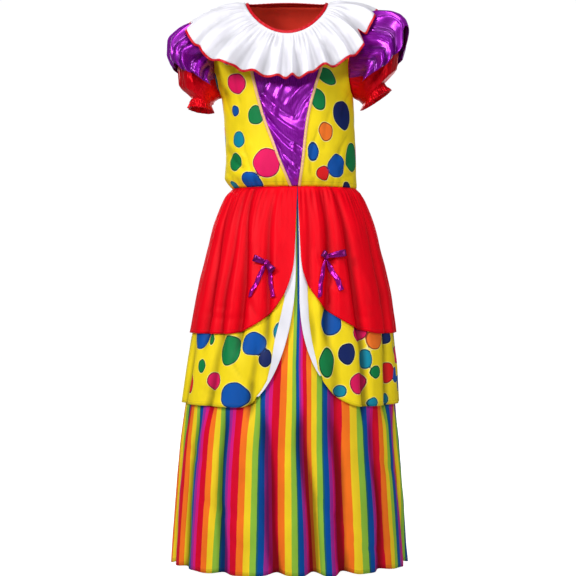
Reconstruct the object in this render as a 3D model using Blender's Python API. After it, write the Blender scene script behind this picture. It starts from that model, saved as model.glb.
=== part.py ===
"""Clown costume: a one-piece dress that keeps the hollow form it has when it is worn.

Metres, +Z up, front towards -Y. The origin is on the line between the two high points of the
shoulders, from which the dress hangs on its wearer. A turn is an angle in degrees about the
upright axis: 0 is the centre front, 90 the +X side, 180 the centre back. Every piece of cloth
is a wall: a grid laid on the garment's form and extruded inwards.
"""
import math

import bmesh
import bpy
from mathutils import Vector

# ---------------------------------------------------------------- driving dimensions
SEAM = 0.0003               # gap between two pieces at a seam
SLEEVE_GAP = 0.0009         # gap at the armhole, where the sleeve's wall meets the bodice's aslant
WALL = 0.0012               # cloth of the bodice, sleeves and skirts
TRIM_WALL = 0.0015          # folded binding, piping and ribbon
WAIST = -0.415              # height of the waist seam
ARMPIT = -0.215
NECK_CENTRE = -0.0025
NECK_HALF = 0.093           # half the width between the neck points
NECK_DIP = 0.091            # how far the neck edge falls at the centre front
BACK_DIP = 0.012
NECK_ROUND = 1.3            # 1 is an ellipse, more is pointed
NECK_RISE = 0.014           # how far the body's form rises inside the neck points
SHOULDER_DROP = 0.33        # slope of the shoulder seam
SHOULDER_ROLL = 0.10        # height over which front and back turn in to the shoulder seam
BINDING_WIDTH = 0.006
PIPING_WIDTH = 0.006
EDGING_WIDTH = 0.0045
PIPING_ROWS = 9             # rows of the fronts' grid beside which the piping runs
FACING_ROWS = 5             # rows of the back's grid that the neck facing covers

# the bodice's section: height, middle, half width, depth of front and of back
TORSO = (
    (0.000, -0.0030, 0.190, 0.088, 0.097),
    (-0.080, -0.0110, 0.184, 0.094, 0.102),
    (-0.130, -0.0155, 0.178, 0.102, 0.104),
    (-0.160, -0.0152, 0.1680, 0.108, 0.106),
    (-0.190, -0.0100, 0.1560, 0.113, 0.108),
    (-0.215, -0.0010, 0.1470, 0.116, 0.108),
    (-0.300, 0.0045, 0.1455, 0.118, 0.110),
    (-0.350, 0.0065, 0.1455, 0.118, 0.110),
    (-0.390, 0.0055, 0.1470, 0.116, 0.108),
    (-0.415, 0.0145, 0.1385, 0.105, 0.096),
)
# the armhole: fall from the shoulder line, turn of the front edge (the back's is its mirror)
ARMHOLE = (
    (0.000, 58.0), (0.040, 57.0), (0.080, 56.0), (0.130, 57.0),
    (0.160, 62.5), (0.190, 72.0), (0.205, 80.0), (0.215, 90.0),
)
# the two seams of the front insert: height, x of each
INSERT = (
    (0.000, -0.0955, 0.0905),
    (-0.008, -0.0990, 0.0940),
    (-0.020, -0.0995, 0.0945),
    (-0.050, -0.0975, 0.0925),
    (-0.100, -0.0900, 0.0840),
    (-0.157, -0.0780, 0.0690),
    (-0.196, -0.0690, 0.0571),
    (-0.231, -0.0604, 0.0474),
    (-0.274, -0.0474, 0.0388),
    (-0.317, -0.0313, 0.0334),
    (-0.360, -0.0151, 0.0291),
    (-0.415, 0.0085, 0.0215),
)
# the ruffle collar's outer edge: turn, x, y, height, arch of the cloth between neck and edge
COLLAR_EDGE = (
    (-180, 0.000, 0.132, -0.112, 0.020),
    (-155, -0.075, 0.130, -0.108, 0.020),
    (-130, -0.140, 0.112, -0.092, 0.018),
    (-110, -0.188, 0.062, -0.062, 0.014),
    (-90, -0.208, 0.000, -0.037, 0.010),
    (-75, -0.203, -0.062, -0.066, 0.014),
    (-62, -0.185, -0.094, -0.100, 0.014),
    (-45, -0.150, -0.112, -0.134, 0.008),
    (-22, -0.078, -0.126, -0.166, 0.004),
    (0, -0.005, -0.130, -0.184, 0.003),
    (22, 0.050, -0.126, -0.172, 0.004),
    (45, 0.118, -0.112, -0.142, 0.008),
    (62, 0.152, -0.092, -0.112, 0.012),
    (75, 0.172, -0.062, -0.060, 0.014),
    (90, 0.194, 0.000, -0.014, 0.010),
    (110, 0.182, 0.060, -0.045, 0.014),
    (130, 0.140, 0.110, -0.085, 0.018),
    (155, 0.075, 0.130, -0.106, 0.020),
    (180, 0.000, 0.132, -0.112, 0.020),
)
COLLAR_WAVES = 20
COLLAR_WAVE = 0.0055        # height of a ruffle wave at the edge, to each side of its middle
COLLAR_GATHER = 0.0008
COLLAR_LIFT = 0.0026        # how far the collar stands off the bodice at the neck
# sleeves: place along it, x and height of the outer line, x and height of the underarm, half depth
PUFF_LEFT = (
    (1 / 6, -0.200, -0.056, -0.1550, -0.2165, 0.062),
    (2 / 6, -0.233, -0.092, -0.1585, -0.2190, 0.071),
    (3 / 6, -0.2475, -0.140, -0.1615, -0.2220, 0.071),
    (4 / 6, -0.246, -0.180, -0.1645, -0.2255, 0.067),
    (5 / 6, -0.2195, -0.211, -0.1675, -0.2290, 0.058),
    (1.0, -0.2275, -0.234, -0.1610, -0.2425, 0.063),
)
PUFF_RIGHT = (
    (1 / 6, 0.194, -0.046, 0.1510, -0.2165, 0.062),
    (2 / 6, 0.233, -0.068, 0.1545, -0.2185, 0.071),
    (3 / 6, 0.249, -0.105, 0.1580, -0.2210, 0.071),
    (4 / 6, 0.246, -0.143, 0.1615, -0.2240, 0.067),
    (5 / 6, 0.2173, -0.172, 0.1650, -0.2275, 0.058),
    (1.0, 0.2350, -0.192, 0.1590, -0.2400, 0.063),
)
FLOUNCE_LEFT = (
    (1 / 3, -0.206, -0.046, -0.152, -0.2120, 0.078),
    (2 / 3, -0.243, -0.068, -0.147, -0.2120, 0.090),
    (1.0, -0.2660, -0.090, -0.140, -0.2100, 0.102),
)
FLOUNCE_RIGHT = (
    (1 / 3, 0.200, -0.032, 0.144, -0.2100, 0.078),
    (2 / 3, 0.242, -0.042, 0.136, -0.2110, 0.090),
    (1.0, 0.2660, -0.062, 0.126, -0.2120, 0.102),
)
FLOUNCE_TURN = 123.75          # the flounce reaches this far round the armhole from its top
FLOUNCE_STAND = 0.0012      # the flounce stands this much further off the puff under the arm
FLOUNCE_WAVES = 7
FLOUNCE_WAVE = 0.006
PUFF_GATHERS = 16
# depth of the puff's gathers: place along the sleeve, depth
PUFF_GATHER = ((0.0, 0.0), (0.3, 0.0), (0.5, 0.0010), (0.66, 0.0020), (5 / 6, 0.0004), (1.0, 0.0018))

# the skirts' shared middle and the ratio of depth to half width: height, middle, front, back
DRAPE = (
    (-0.415, 0.0145, 0.758, 0.693),
    (-0.460, 0.0135, 0.750, 0.710),
    (-0.560, 0.0140, 0.745, 0.740),
    (-0.650, 0.0135, 0.755, 0.760),
    (-0.735, 0.0115, 0.770, 0.780),
    (-0.890, 0.0065, 0.785, 0.790),
    (-1.000, 0.0030, 0.780, 0.790),
    (-1.243, 0.0030, 0.760, 0.780),
)
# half width of each skirt between its folds: height, half width
HALF_WIDTH = {
    "overskirt": (
        (-0.415, 0.1385), (-0.430, 0.1500), (-0.460, 0.1655), (-0.500, 0.1810),
        (-0.560, 0.1965), (-0.650, 0.2180), (-0.735, 0.2315),
    ),
    "tier": (
        (-0.415, 0.1361), (-0.430, 0.1450), (-0.460, 0.1595), (-0.500, 0.1745),
        (-0.560, 0.1895), (-0.650, 0.2110), (-0.735, 0.2250), (-0.800, 0.2345),
        (-0.890, 0.2445),
    ),
    "skirt": (
        (-0.415, 0.1337), (-0.430, 0.1415), (-0.460, 0.1540), (-0.500, 0.1680),
        (-0.560, 0.1820), (-0.650, 0.2030), (-0.735, 0.2170), (-0.800, 0.2255),
        (-0.890, 0.2350), (-1.000, 0.2460), (-1.120, 0.2565), (-1.243, 0.2645),
    ),
}
# top and bottom height of the stretch in which a skirt's own folds deepen
FOLD_REACH = {"overskirt": (-0.415, -0.735), "tier": (-0.650, -0.890), "skirt": (-0.800, -1.243)}
# heights between which a skirt's folds change from those of the skirt over it to its own
FOLD_CHANGE = {"tier": (-0.715, -0.800), "skirt": (-0.860, -0.950)}
# folds: turn at the top, turn at the hem, spread in degrees, depth
FOLDS = {
    "overskirt": (
        (-62, -57, 6, 0.007), (-45, -43, 5, 0.005), (-37, -31, 5, 0.010), (-17, -16, 4, 0.006),
        (10, 11, 4, 0.004), (24, 20, 5, 0.009), (36, 41, 5, 0.009), (66, 64, 5, 0.009),
        (86, 84, 6, 0.006), (104, 108, 6, 0.008), (128, 124, 5, 0.007), (146, 149, 6, 0.009),
        (170, 167, 5, 0.006), (190, 193, 6, 0.009), (214, 210, 5, 0.007), (236, 240, 6, 0.008),
        (262, 258, 6, 0.007),
    ),
    "tier": (
        (-72, -74, 6, 0.006), (-46, -48, 6, 0.007), (-22, -21, 4, 0.006), (24, 22, 6, 0.006),
        (40, 43, 4, 0.008), (60, 62, 6, 0.007), (82, 84, 6, 0.006), (110, 107, 6, 0.008),
        (133, 137, 6, 0.008), (160, 156, 6, 0.007), (182, 186, 6, 0.008), (206, 203, 6, 0.007),
        (230, 234, 6, 0.008), (256, 252, 6, 0.006),
    ),
    "skirt": (
        (-57, -62, 6, 0.007), (-38, -35, 6, 0.009), (-17, -6, 6, 0.013), (4, 13, 6, 0.014),
        (21, 28, 6, 0.012), (48, 50, 5, 0.007), (75, 78, 6, 0.009), (100, 103, 7, 0.010),
        (124, 120, 7, 0.012), (147, 152, 7, 0.012), (170, 166, 7, 0.010), (192, 198, 7, 0.012),
        (215, 210, 7, 0.012), (238, 243, 7, 0.010), (262, 258, 7, 0.010), (283, 281, 6, 0.009),
    ),
}
WAIST_GATHERS = 40          # gathers of the overskirt all round the waist
# depth of the waist gathers: height, depth
WAIST_GATHER = ((-0.415, 0.0), (-0.428, 0.0026), (-0.450, 0.0034), (-0.500, 0.0022), (-0.600, 0.0))
# the cut-away front edges: turn of the upright edge, turns to where it meets the hem, height of
# the round stretch, height of the hem
CUTAWAY = {
    "overskirt_left": (-0.8, -41.0, 0.167, -0.735),
    "overskirt_right": (4.2, 58.0, 0.170, -0.735),
    "tier_left": (0.9, -28.0, 0.310, -0.890),
    "tier_right": (3.0, 40.0, 0.240, -0.890),
}
# seam of the white band and the tier's cloth: turn, height (above the first, it runs upright)
BAND = {
    "tier_left": (
        (-5.7, -0.661), (-10.0, -0.746), (-11.3, -0.795), (-12.8, -0.831), (-15.3, -0.852),
        (-18.0, -0.866),
    ),
    "tier_right": (
        (8.0, -0.661), (8.6, -0.7035), (10.1, -0.746), (12.4, -0.789), (13.4, -0.810),
        (15.2, -0.822),
    ),
}
SKIRT_HEM = -1.243

# bows: x and height of the knot, then for each loop and tail the x and height of its far end
BOWS = {
    "left": ((-0.0465, -0.582), ((-0.072, -0.570), (-0.0280, -0.601)), ((-0.081, -0.655), (-0.0325, -0.655))),
    "right": ((0.0830, -0.568), ((0.0700, -0.560), (0.1240, -0.559)), ((0.0665, -0.655), (0.1130, -0.640))),
}
LOOP_WIDTH = 0.010
LOOP_RISE = 0.0030
LOOP_LIFT = 0.0016          # the loops leave the knot this far out from its middle
TAIL_WIDTH = 0.0085
TAIL_LIFT = 0.0028
KNOT = (0.0055, 0.0052, 0.0060)  # half sizes of a knot

# grid of each kind of piece: faces across, faces down
GRID = {
    "bodice_front": (6, 13), "front_insert": (16, 13), "bodice_back": (14, 13), "collar": (96, 3),
    "puff": (32, 6), "flounce": (44, 3), "overskirt_front": (20, 6), "overskirt_back": (40, 6),
    "tier_front": (18, 5), "tier_back": (30, 5), "skirt": (64, 7),
    "loop": (10, 1), "tail": (1, 4),
}
BODY_ROWS = 5               # rows of the bodice below the armpit
ARM_ROWS = 8                # rows beside the armhole
NECK_SHARE = 4 / 7          # share of the back's width that lies under the neck edge
STEP = 0.0030               # step for measuring a surface's slope

# ---------------------------------------------------------------- finishes: colour, roughness
FINISHES = {
    "yellow_satin": ((0.95, 0.66, 0.02), 0.55),
    "purple_satin": ((0.26, 0.00, 0.36), 0.32),
    "gold_piping": ((0.90, 0.48, 0.24), 0.45),
    "red_satin": ((0.70, 0.005, 0.02), 0.35),
    "white_satin": ((0.88, 0.85, 0.90), 0.40),
    "rainbow_stripe": ((0.35, 0.30, 0.35), 0.60),
}


def finish(name):
    """The fabric's material, made once."""
    if name in bpy.data.materials:
        return bpy.data.materials[name]
    colour, roughness = FINISHES[name]
    material = bpy.data.materials.new(name)
    material.use_nodes = True
    shader = material.node_tree.nodes["Principled BSDF"]
    shader.inputs["Base Color"].default_value = (*colour, 1.0)
    shader.inputs["Roughness"].default_value = roughness
    shader.inputs["Metallic"].default_value = 0.0
    return material


# ---------------------------------------------------------------- small sums
def clamp(value, low=0.0, high=1.0):
    return max(low, min(high, value))


def mix(a, b, share):
    return a + (b - a) * share


def ease(value):
    value = clamp(value)
    return value * value * (3.0 - 2.0 * value)


def read(rows, at, column=1):
    """One column of a table at a value of its first column, on a smooth curve without overshoot."""
    keys = [row[0] for row in rows]
    values = [row[column] for row in rows]
    if keys[0] > keys[-1]:
        keys.reverse()
        values.reverse()
    at = clamp(at, keys[0], keys[-1])
    gaps = [b - a for a, b in zip(keys, keys[1:])]
    slopes = [(b - a) / gap for a, b, gap in zip(values, values[1:], gaps)]
    ends = [slopes[0]]
    for before, after in zip(slopes, slopes[1:]):
        ends.append(2 * before * after / (before + after) if before * after > 0 else 0.0)
    ends.append(slopes[-1])
    index = min(sum(at >= key for key in keys), len(keys) - 1) - 1
    gap = gaps[index]
    t = (at - keys[index]) / gap
    return (
        values[index] * (1 + 2 * t) * (1 - t) ** 2
        + gap * ends[index] * t * (1 - t) ** 2
        + values[index + 1] * t * t * (3 - 2 * t)
        + gap * ends[index + 1] * t * t * (t - 1)
    )


def degrees_apart(a, b):
    return (a - b + 180.0) % 360.0 - 180.0


# ---------------------------------------------------------------- walls of cloth
def slope(place, u, v, whole_turn):
    """The unit normal of a surface, from two short steps each way."""
    low_u, high_u = u - STEP, u + STEP
    if not whole_turn:
        low_u, high_u = clamp(low_u), clamp(high_u)
    across = place(high_u, v) - place(low_u, v)
    along = place(u, clamp(v + STEP)) - place(u, clamp(v - STEP))
    return across.cross(along).normalized()


def cloth(name, grid, place, material, wall=WALL, lift=0.0, whole_turn=False, normal=None):
    """A named wall of cloth: its outer face lies lift above place(u, v), u and v from 0 to 1."""
    across, down = grid
    shape = bmesh.new()
    bmesh.ops.create_grid(shape, x_segments=across, y_segments=down, size=0.5)
    at_u = shape.verts.layers.float.new("u")
    at_v = shape.verts.layers.float.new("v")
    for vert in shape.verts:
        vert[at_u] = vert.co.x + 0.5
        vert[at_v] = vert.co.y + 0.5
        vert.co = place(vert[at_u], vert[at_v])
    if whole_turn:
        bmesh.ops.remove_doubles(shape, verts=shape.verts[:], dist=1e-6)
    outer = shape.verts[:]
    made = bmesh.ops.extrude_face_region(shape, geom=shape.faces[:])["geom"]
    inner = [item for item in made if isinstance(item, bmesh.types.BMVert)]
    for verts, height in ((outer, lift), (inner, lift - wall)):
        for vert in verts:
            at = (vert[at_u], vert[at_v])
            vert.co += (normal(*at) if normal else slope(place, *at, whole_turn)) * height
    bmesh.ops.recalc_face_normals(shape, faces=shape.faces[:])
    return add_object(name, shape, material)


def cloth_on_body(name, grid, where, material, **options):
    """Cloth that lies on the bodice's form: where(u, v) gives x, fall and whether it is the back."""
    return cloth(
        name, grid, lambda u, v: body_point(*where(u, v)), material,
        normal=lambda u, v: body_normal(*where(u, v)), **options,
    )


def add_object(name, shape, material):
    mesh = bpy.data.meshes.new(name)
    shape.to_mesh(mesh)
    shape.free()
    mesh.materials.append(finish(material))
    mesh.shade_smooth()
    mesh.set_sharp_from_angle(angle=math.radians(50))
    item = bpy.data.objects.new(name, mesh)
    bpy.context.scene.collection.objects.link(item)
    return item


# ---------------------------------------------------------------- the bodice's form
def body_height(x, fall):
    """Height of the bodice at x, a fall below the shoulder line and its rise inside the neck."""
    out = abs(x - NECK_CENTRE) - NECK_HALF
    line = -SHOULDER_DROP * out if out > 0 else NECK_RISE * (1 - ((x - NECK_CENTRE) / NECK_HALF) ** 2)
    return line * clamp(1 + fall / ARMPIT) - fall


def body_point(x, fall, back):
    """The point of the bodice at x, a fall below the shoulder line."""
    height = body_height(x, fall)
    side = clamp((x - read(TORSO, height)) / read(TORSO, height, 2), -1.0, 1.0)
    roll = clamp(fall / SHOULDER_ROLL)
    depth = read(TORSO, height, 4 if back else 3) * math.sqrt(1 - side**2)
    depth = SEAM / 2 + depth * math.sqrt(1 - (1 - roll) ** 2)
    return Vector((x, depth if back else -depth, height))


def x_of(turn, fall):
    """x at a turn from the centre front or back, + towards +X."""
    x = math.copysign(NECK_HALF, turn)
    for _ in range(4):
        height = body_height(x, fall)
        x = read(TORSO, height) + read(TORSO, height, 2) * math.sin(math.radians(turn))
    return x


def turn_of(x, fall):
    height = body_height(x, fall)
    return math.degrees(math.asin(clamp((x - read(TORSO, height)) / read(TORSO, height, 2), -1, 1)))


def body_normal(x, fall, back):
    """The bodice's outward normal, also where it rolls in to the shoulder seam."""
    if fall < SHOULDER_ROLL:
        roll = math.acos(1 - fall / SHOULDER_ROLL)
        falls = [SHOULDER_ROLL * (1 - math.cos(max(roll + step, 0.0))) for step in (-0.03, 0.03)]
    else:
        falls = (fall - 0.002, fall + 0.002)
    up = body_point(x, falls[0], back) - body_point(x, falls[1], back)
    turns = [clamp(turn_of(x, fall) + step, -90.0, 90.0) for step in (-1.0, 1.0)]
    left, right = (body_point(x_of(turn, fall), fall, back) for turn in turns)
    return (right - left).cross(up).normalized() * (-1.0 if back else 1.0)


def row_share(row):
    """How far a row of the bodice is up the armhole, and its fall at the side and at the neck."""
    up = (row - BODY_ROWS) / ARM_ROWS
    if up <= 0:
        fall = mix(-ARMPIT, -WAIST, -up * ARM_ROWS / BODY_ROWS)
        return up, fall, fall
    beside_arm = -ARMPIT * (1 - math.cos(math.pi * (1 - up))) / 2
    return up, beside_arm, -ARMPIT * (1 - math.sin(up * math.pi / 2))


def neck_edge(turn, out=0.0):
    """Place on the bodice of the neck edge, or of the line at a distance out from it."""
    ahead = math.cos(math.radians(turn))
    fall = ((BACK_DIP if ahead < 0 else NECK_DIP) + out) * abs(ahead) ** NECK_ROUND
    return NECK_CENTRE + (NECK_HALF + out) * math.sin(math.radians(turn)), fall, ahead < 0


def front_panel(side):
    """A front panel, between its insert seam and its side seam and armhole."""

    def where(u, v):
        row = v * (BODY_ROWS + ARM_ROWS)
        _, outer_fall, inner_fall = row_share(row)
        seam_x = read(INSERT, -inner_fall, 1 if side < 0 else 2) + side * SEAM / 2
        inner = turn_of(seam_x, inner_fall)
        outer = side * (read(ARMHOLE, outer_fall) if row > BODY_ROWS else 90.0)
        share = 1 - u if side < 0 else u
        fall = mix(inner_fall, outer_fall, share)
        return x_of(mix(inner, outer, share), fall), fall, False

    return where


def insert_panel(u, v):
    """The front insert: its top row is the neck edge, its sides are the two insert seams."""
    neck_turn = 180 * u - 90
    across = math.sin(math.radians(neck_turn))
    _, top_fall, _ = neck_edge(neck_turn)
    share = 1 - row_share(v * (BODY_ROWS + ARM_ROWS))[2] / -WAIST
    fall = mix(-WAIST, top_fall, share)

    def between_seams(fall):
        left = read(INSERT, -fall, 1) + SEAM / 2
        right = read(INSERT, -fall, 2) - SEAM / 2
        return mix(left, right, (across + 1) / 2)

    top_x = NECK_CENTRE + (NECK_HALF - SEAM / 2) * across
    return between_seams(fall) + (top_x - between_seams(top_fall)) * share**3, fall, False


def back_panel(u, v):
    """The back: its top row runs along a shoulder seam, the neck edge and the other seam."""
    row = v * (BODY_ROWS + ARM_ROWS)
    up, outer_fall, inner_fall = row_share(row)
    across = 1 - 2 * u
    width = min(abs(across) / NECK_SHARE, 1.0)
    neck_x, dip, _ = neck_edge(180 - math.copysign(90 * width, across))
    turn = mix(90.0 * NECK_SHARE * math.copysign(width, across), turn_of(neck_x, dip), clamp(up))
    fall = mix(dip, -WAIST, inner_fall / -WAIST)
    if width == 1.0:
        outer = read(ARMHOLE, outer_fall) if row > BODY_ROWS else 90.0
        share = (abs(across) - NECK_SHARE) / (1 - NECK_SHARE)
        turn = mix(turn, math.copysign(outer, across), share)
        fall = mix(fall, outer_fall, share)
    return x_of(turn, fall), fall, True


def facing_panel(u, v):
    """The part of the back that the neck facing lines."""
    rows = BODY_ROWS + ARM_ROWS
    return back_panel(0.5 + (u - 0.5) * NECK_SHARE, 1 - (1 - v) * FACING_ROWS / rows)


def piping_strip(side):
    """The strip of a front panel beside its insert seam."""
    panel = front_panel(side)

    def where(u, v):
        edge_x, fall, _ = panel(1.0 if side < 0 else 0.0, v * PIPING_ROWS / (BODY_ROWS + ARM_ROWS))
        out = (1 - u if side < 0 else u) * PIPING_WIDTH
        return edge_x + side * out, fall, False

    return where


def build_bodice():
    for word, side in (("left", -1), ("right", 1)):
        cloth_on_body(f"bodice_front_{word}", GRID["bodice_front"], front_panel(side), "yellow_satin")
        cloth_on_body(
            f"piping_{word}", (1, PIPING_ROWS), piping_strip(side), "gold_piping",
            wall=TRIM_WALL - SEAM, lift=TRIM_WALL + SEAM,
        )
    cloth_on_body("front_insert", GRID["front_insert"], insert_panel, "purple_satin")
    cloth_on_body("bodice_back", GRID["bodice_back"], back_panel, "yellow_satin")
    facing_grid = (round(GRID["bodice_back"][0] * NECK_SHARE), FACING_ROWS)
    cloth_on_body("neck_facing", facing_grid, facing_panel, "red_satin", lift=-WALL - SEAM)


# ---------------------------------------------------------------- neck binding and collar
def round_turn(u):
    """Turn of a whole round, from the back round the -X side and the front."""
    return (360.0 * u) % 360.0 - 180.0


def neck_corners():
    """Turns of the corners of the neck edge, as the insert's and the back's top rows have them."""
    front = GRID["front_insert"][0]
    back = round(GRID["bodice_back"][0] * NECK_SHARE)
    turns = [-90 + 180 * step / front for step in range(front)]
    return turns + [90 + 180 * step / back for step in range(back + 1)]


def binding_strip(u, v):
    """The binding carries the bodice's form on from the neck edge into the opening."""
    corners = neck_corners()
    index = u * (len(corners) - 1)
    first = min(math.floor(index), len(corners) - 2)
    turn = mix(corners[first], corners[first + 1], index - first)
    return neck_edge(turn, -3 * SEAM - BINDING_WIDTH * v)


def collar_form(turn, out):
    """The collar between the neck (out = 0) and its edge (out = 1), without its waves."""
    start = body_point(*neck_edge(turn, SEAM))
    edge = Vector([read(COLLAR_EDGE, turn, column) for column in (1, 2, 3)])
    middle = (start + edge) / 2
    away = Vector((middle.x, middle.y, 0.0)).normalized()
    middle += (away + Vector((0.0, 0.0, 1.0))) * read(COLLAR_EDGE, turn, 4)
    return start * (1 - out) ** 2 + middle * 2 * out * (1 - out) + edge * out**2


def collar_place(u, v):
    turn, out = round_turn(u), 1 - v
    wave = math.sin(math.radians(COLLAR_WAVES * (turn + 3 * math.sin(math.radians(2 * turn + 40)))))
    gather = math.cos(math.pi * GRID["collar"][0] * u) * COLLAR_GATHER * (1 - ease(out * 1.5))
    lift = COLLAR_LIFT + gather + COLLAR_LIFT * ease(4 * out) + (wave + 1) * COLLAR_WAVE * ease(out)
    form = collar_form(turn, out)
    across = collar_form(turn + 1, out) - collar_form(turn - 1, out)
    along = collar_form(turn, clamp(out - 0.02)) - collar_form(turn, clamp(out + 0.02))
    return form + across.cross(along).normalized() * lift


def collar_edging_place(u, v):
    """The binding of the collar's edge: it carries the edge's own line on past the cloth."""
    edge = collar_place(u, 0.0)
    outwards = (edge - collar_place(u, 0.08)).normalized()
    return edge + outwards * (SEAM + EDGING_WIDTH * (1 - v))


def build_neck():
    binding_grid = (len(neck_corners()) - 1, 1)
    cloth_on_body("neck_binding", binding_grid, binding_strip, "red_satin", wall=TRIM_WALL, whole_turn=True)
    cloth("collar", GRID["collar"], collar_place, "white_satin", whole_turn=True)
    cloth(
        "collar_edging", (GRID["collar"][0], 1), collar_edging_place, "red_satin",
        wall=TRIM_WALL, lift=(TRIM_WALL - WALL) / 2, whole_turn=True,
    )


# ---------------------------------------------------------------- sleeves
def armhole_corner(index, side):
    """A corner of the armhole edge; 0 is the shoulder, then down the front and up the back."""
    index %= 2 * ARM_ROWS
    back = index > ARM_ROWS
    row = BODY_ROWS + ARM_ROWS - (2 * ARM_ROWS - index if back else index)
    fall = row_share(row)[1]
    turn = read(ARMHOLE, fall) if row > BODY_ROWS else 90.0
    point = body_point(x_of(side * turn, fall), fall, back)
    point.x += side * SLEEVE_GAP
    return point


def armhole_point(turn, side):
    """The armhole edge, straight from corner to corner as the bodice's own edge is."""
    index = turn % 360.0 / 360.0 * 2 * ARM_ROWS
    first = math.floor(index)
    return armhole_corner(first, side).lerp(armhole_corner(first + 1, side), index - first)


def sleeve_point(rows, side, turn, along):
    """A point of a sleeve; turn runs round it from its outer line, along from armhole to hem."""
    ring = math.radians(turn)

    def on_row(at):
        outer = Vector((read(rows, at, 1), 0.0, read(rows, at, 2)))
        inner = Vector((read(rows, at, 3), 0.0, read(rows, at, 4)))
        middle = (outer + inner) / 2
        ahead = Vector((0.0, -read(rows, at, 5), 0.0))
        return middle + (outer - middle) * math.cos(ring) + ahead * math.sin(ring)

    first = rows[0][0]
    if along >= first:
        return on_row(along)
    return armhole_point(turn, side).lerp(on_row(first), along / first)


def away_from_middle(rows, along, point):
    """The direction from a sleeve's middle line to a point of it."""
    at = max(along, rows[0][0])
    middle = Vector((
        (read(rows, at, 1) + read(rows, at, 3)) / 2, 0.0, (read(rows, at, 2) + read(rows, at, 4)) / 2
    ))
    middle.x = mix(point.x, middle.x, ease(1.5 * along))
    return (point - middle).normalized()


def puff_place(rows, side):
    def place(u, v):
        turn, along = -side * 360.0 * u, 1 - v
        point = sleeve_point(rows, side, turn, along)
        upper = (1 + math.cos(math.radians(turn))) / 2
        depth = read(PUFF_GATHER, along) * mix(0.3, 1.0, upper)
        gather = math.cos(2 * math.pi * PUFF_GATHERS * u) * depth
        return point + away_from_middle(rows, along, point) * gather

    return place


def flounce_place(rows, side):
    def place(u, v):
        turn, along = -side * FLOUNCE_TURN * (2 * u - 1), 1 - v
        point = sleeve_point(rows, side, turn, along)
        wave = math.sin(2 * math.pi * FLOUNCE_WAVES * u + 0.8 * math.sin(4 * math.pi * u))
        stand_off = FLOUNCE_STAND * (1 - math.cos(math.radians(turn))) / 2
        lift = SLEEVE_GAP + WALL + stand_off + (wave + 0.5) * FLOUNCE_WAVE * ease(along)
        return point + away_from_middle(rows, along, point) * lift

    return place


def build_sleeves():
    pairs = (("left", -1, PUFF_LEFT, FLOUNCE_LEFT), ("right", 1, PUFF_RIGHT, FLOUNCE_RIGHT))
    for word, side, puff, flounce in pairs:
        cloth(f"puff_{word}", GRID["puff"], puff_place(puff, side), "red_satin", whole_turn=True)
        cloth(f"flounce_{word}", GRID["flounce"], flounce_place(flounce, side), "purple_satin")


# ---------------------------------------------------------------- skirts
def fold_depth(layer, turn, height):
    """How far a skirt's cloth lies inside its full width, by its own folds."""
    top, bottom = FOLD_REACH[layer]
    down = clamp((top - height) / (top - bottom))
    total = 0.0
    for top_turn, hem_turn, spread, depth in FOLDS[layer]:
        apart = degrees_apart(turn, mix(top_turn, hem_turn, down)) / spread
        total += depth * math.exp(-apart * apart)
    return total * down**0.7


def nested_depth(layer, turn, height):
    """The same, following the folds of the skirt over it where that one covers it."""
    if layer == "overskirt":
        return fold_depth(layer, turn, height)
    start, end = FOLD_CHANGE[layer]
    own = ease((start - height) / (start - end))
    above = "overskirt" if layer == "tier" else "tier"
    depth = own * fold_depth(layer, turn, height) if own > 0 else 0.0
    if own < 1:
        depth += (1 - own) * nested_depth(above, turn, height)
    return depth


def drape_point(layer, turn, height, lift=0.0):
    """A point of a skirt, or one at a lift outside it."""
    back = abs(degrees_apart(turn, 0.0)) > 90
    half = read(HALF_WIDTH[layer], height)
    ratio = read(DRAPE, height, 3 if back else 2)
    out = lift - nested_depth(layer, turn, height)
    if layer == "overskirt":
        out += read(WAIST_GATHER, height) * waist_zigzag(turn)
    side, ahead = math.sin(math.radians(turn)), math.cos(math.radians(turn))
    return Vector((
        read(DRAPE, height) + (half + out) * side, -(half * ratio + out) * ahead, height,
    ))


def waist_zigzag(turn):
    return 0.5 + 0.5 * math.cos(math.radians(WAIST_GATHERS * turn))


def hem_height(edge, turn):
    """Height of a cut-away front's lower edge at a turn."""
    upright, meets, rise, hem = CUTAWAY[edge]
    share = clamp((turn - meets) / (upright - meets))
    return hem + rise * (1 - math.sqrt(1 - share * share))


def edge_turn(edge, height):
    """Turn of a cut-away front's edge at a height."""
    upright, meets, rise, hem = CUTAWAY[edge]
    share = 1 - clamp((height - hem) / rise)
    return mix(meets, upright, math.sqrt(1 - share * share))


def panel_turns(start, end, count, crowd):
    """Turns of a panel's columns, closer together near its cut-away edge."""
    return [mix(start, end, (index / count) ** crowd) for index in range(count + 1)]


def panel_place(layer, turns, lows):
    """A skirt panel from the turns of its columns and the heights of their lower ends."""

    def place(u, v):
        index = u * (len(turns) - 1)
        first = min(math.floor(index), len(turns) - 2)
        turn, low = (mix(row[first], row[first + 1], index - first) for row in (turns, lows))
        return drape_point(layer, turn, mix(low, WAIST - SEAM, v))

    return place


def seam_turn(layer):
    """Half the seam gap as a turn, at the width of the skirt's hem."""
    return math.degrees(SEAM / 2 / HALF_WIDTH[layer][-3][1]) * 1.4


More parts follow.
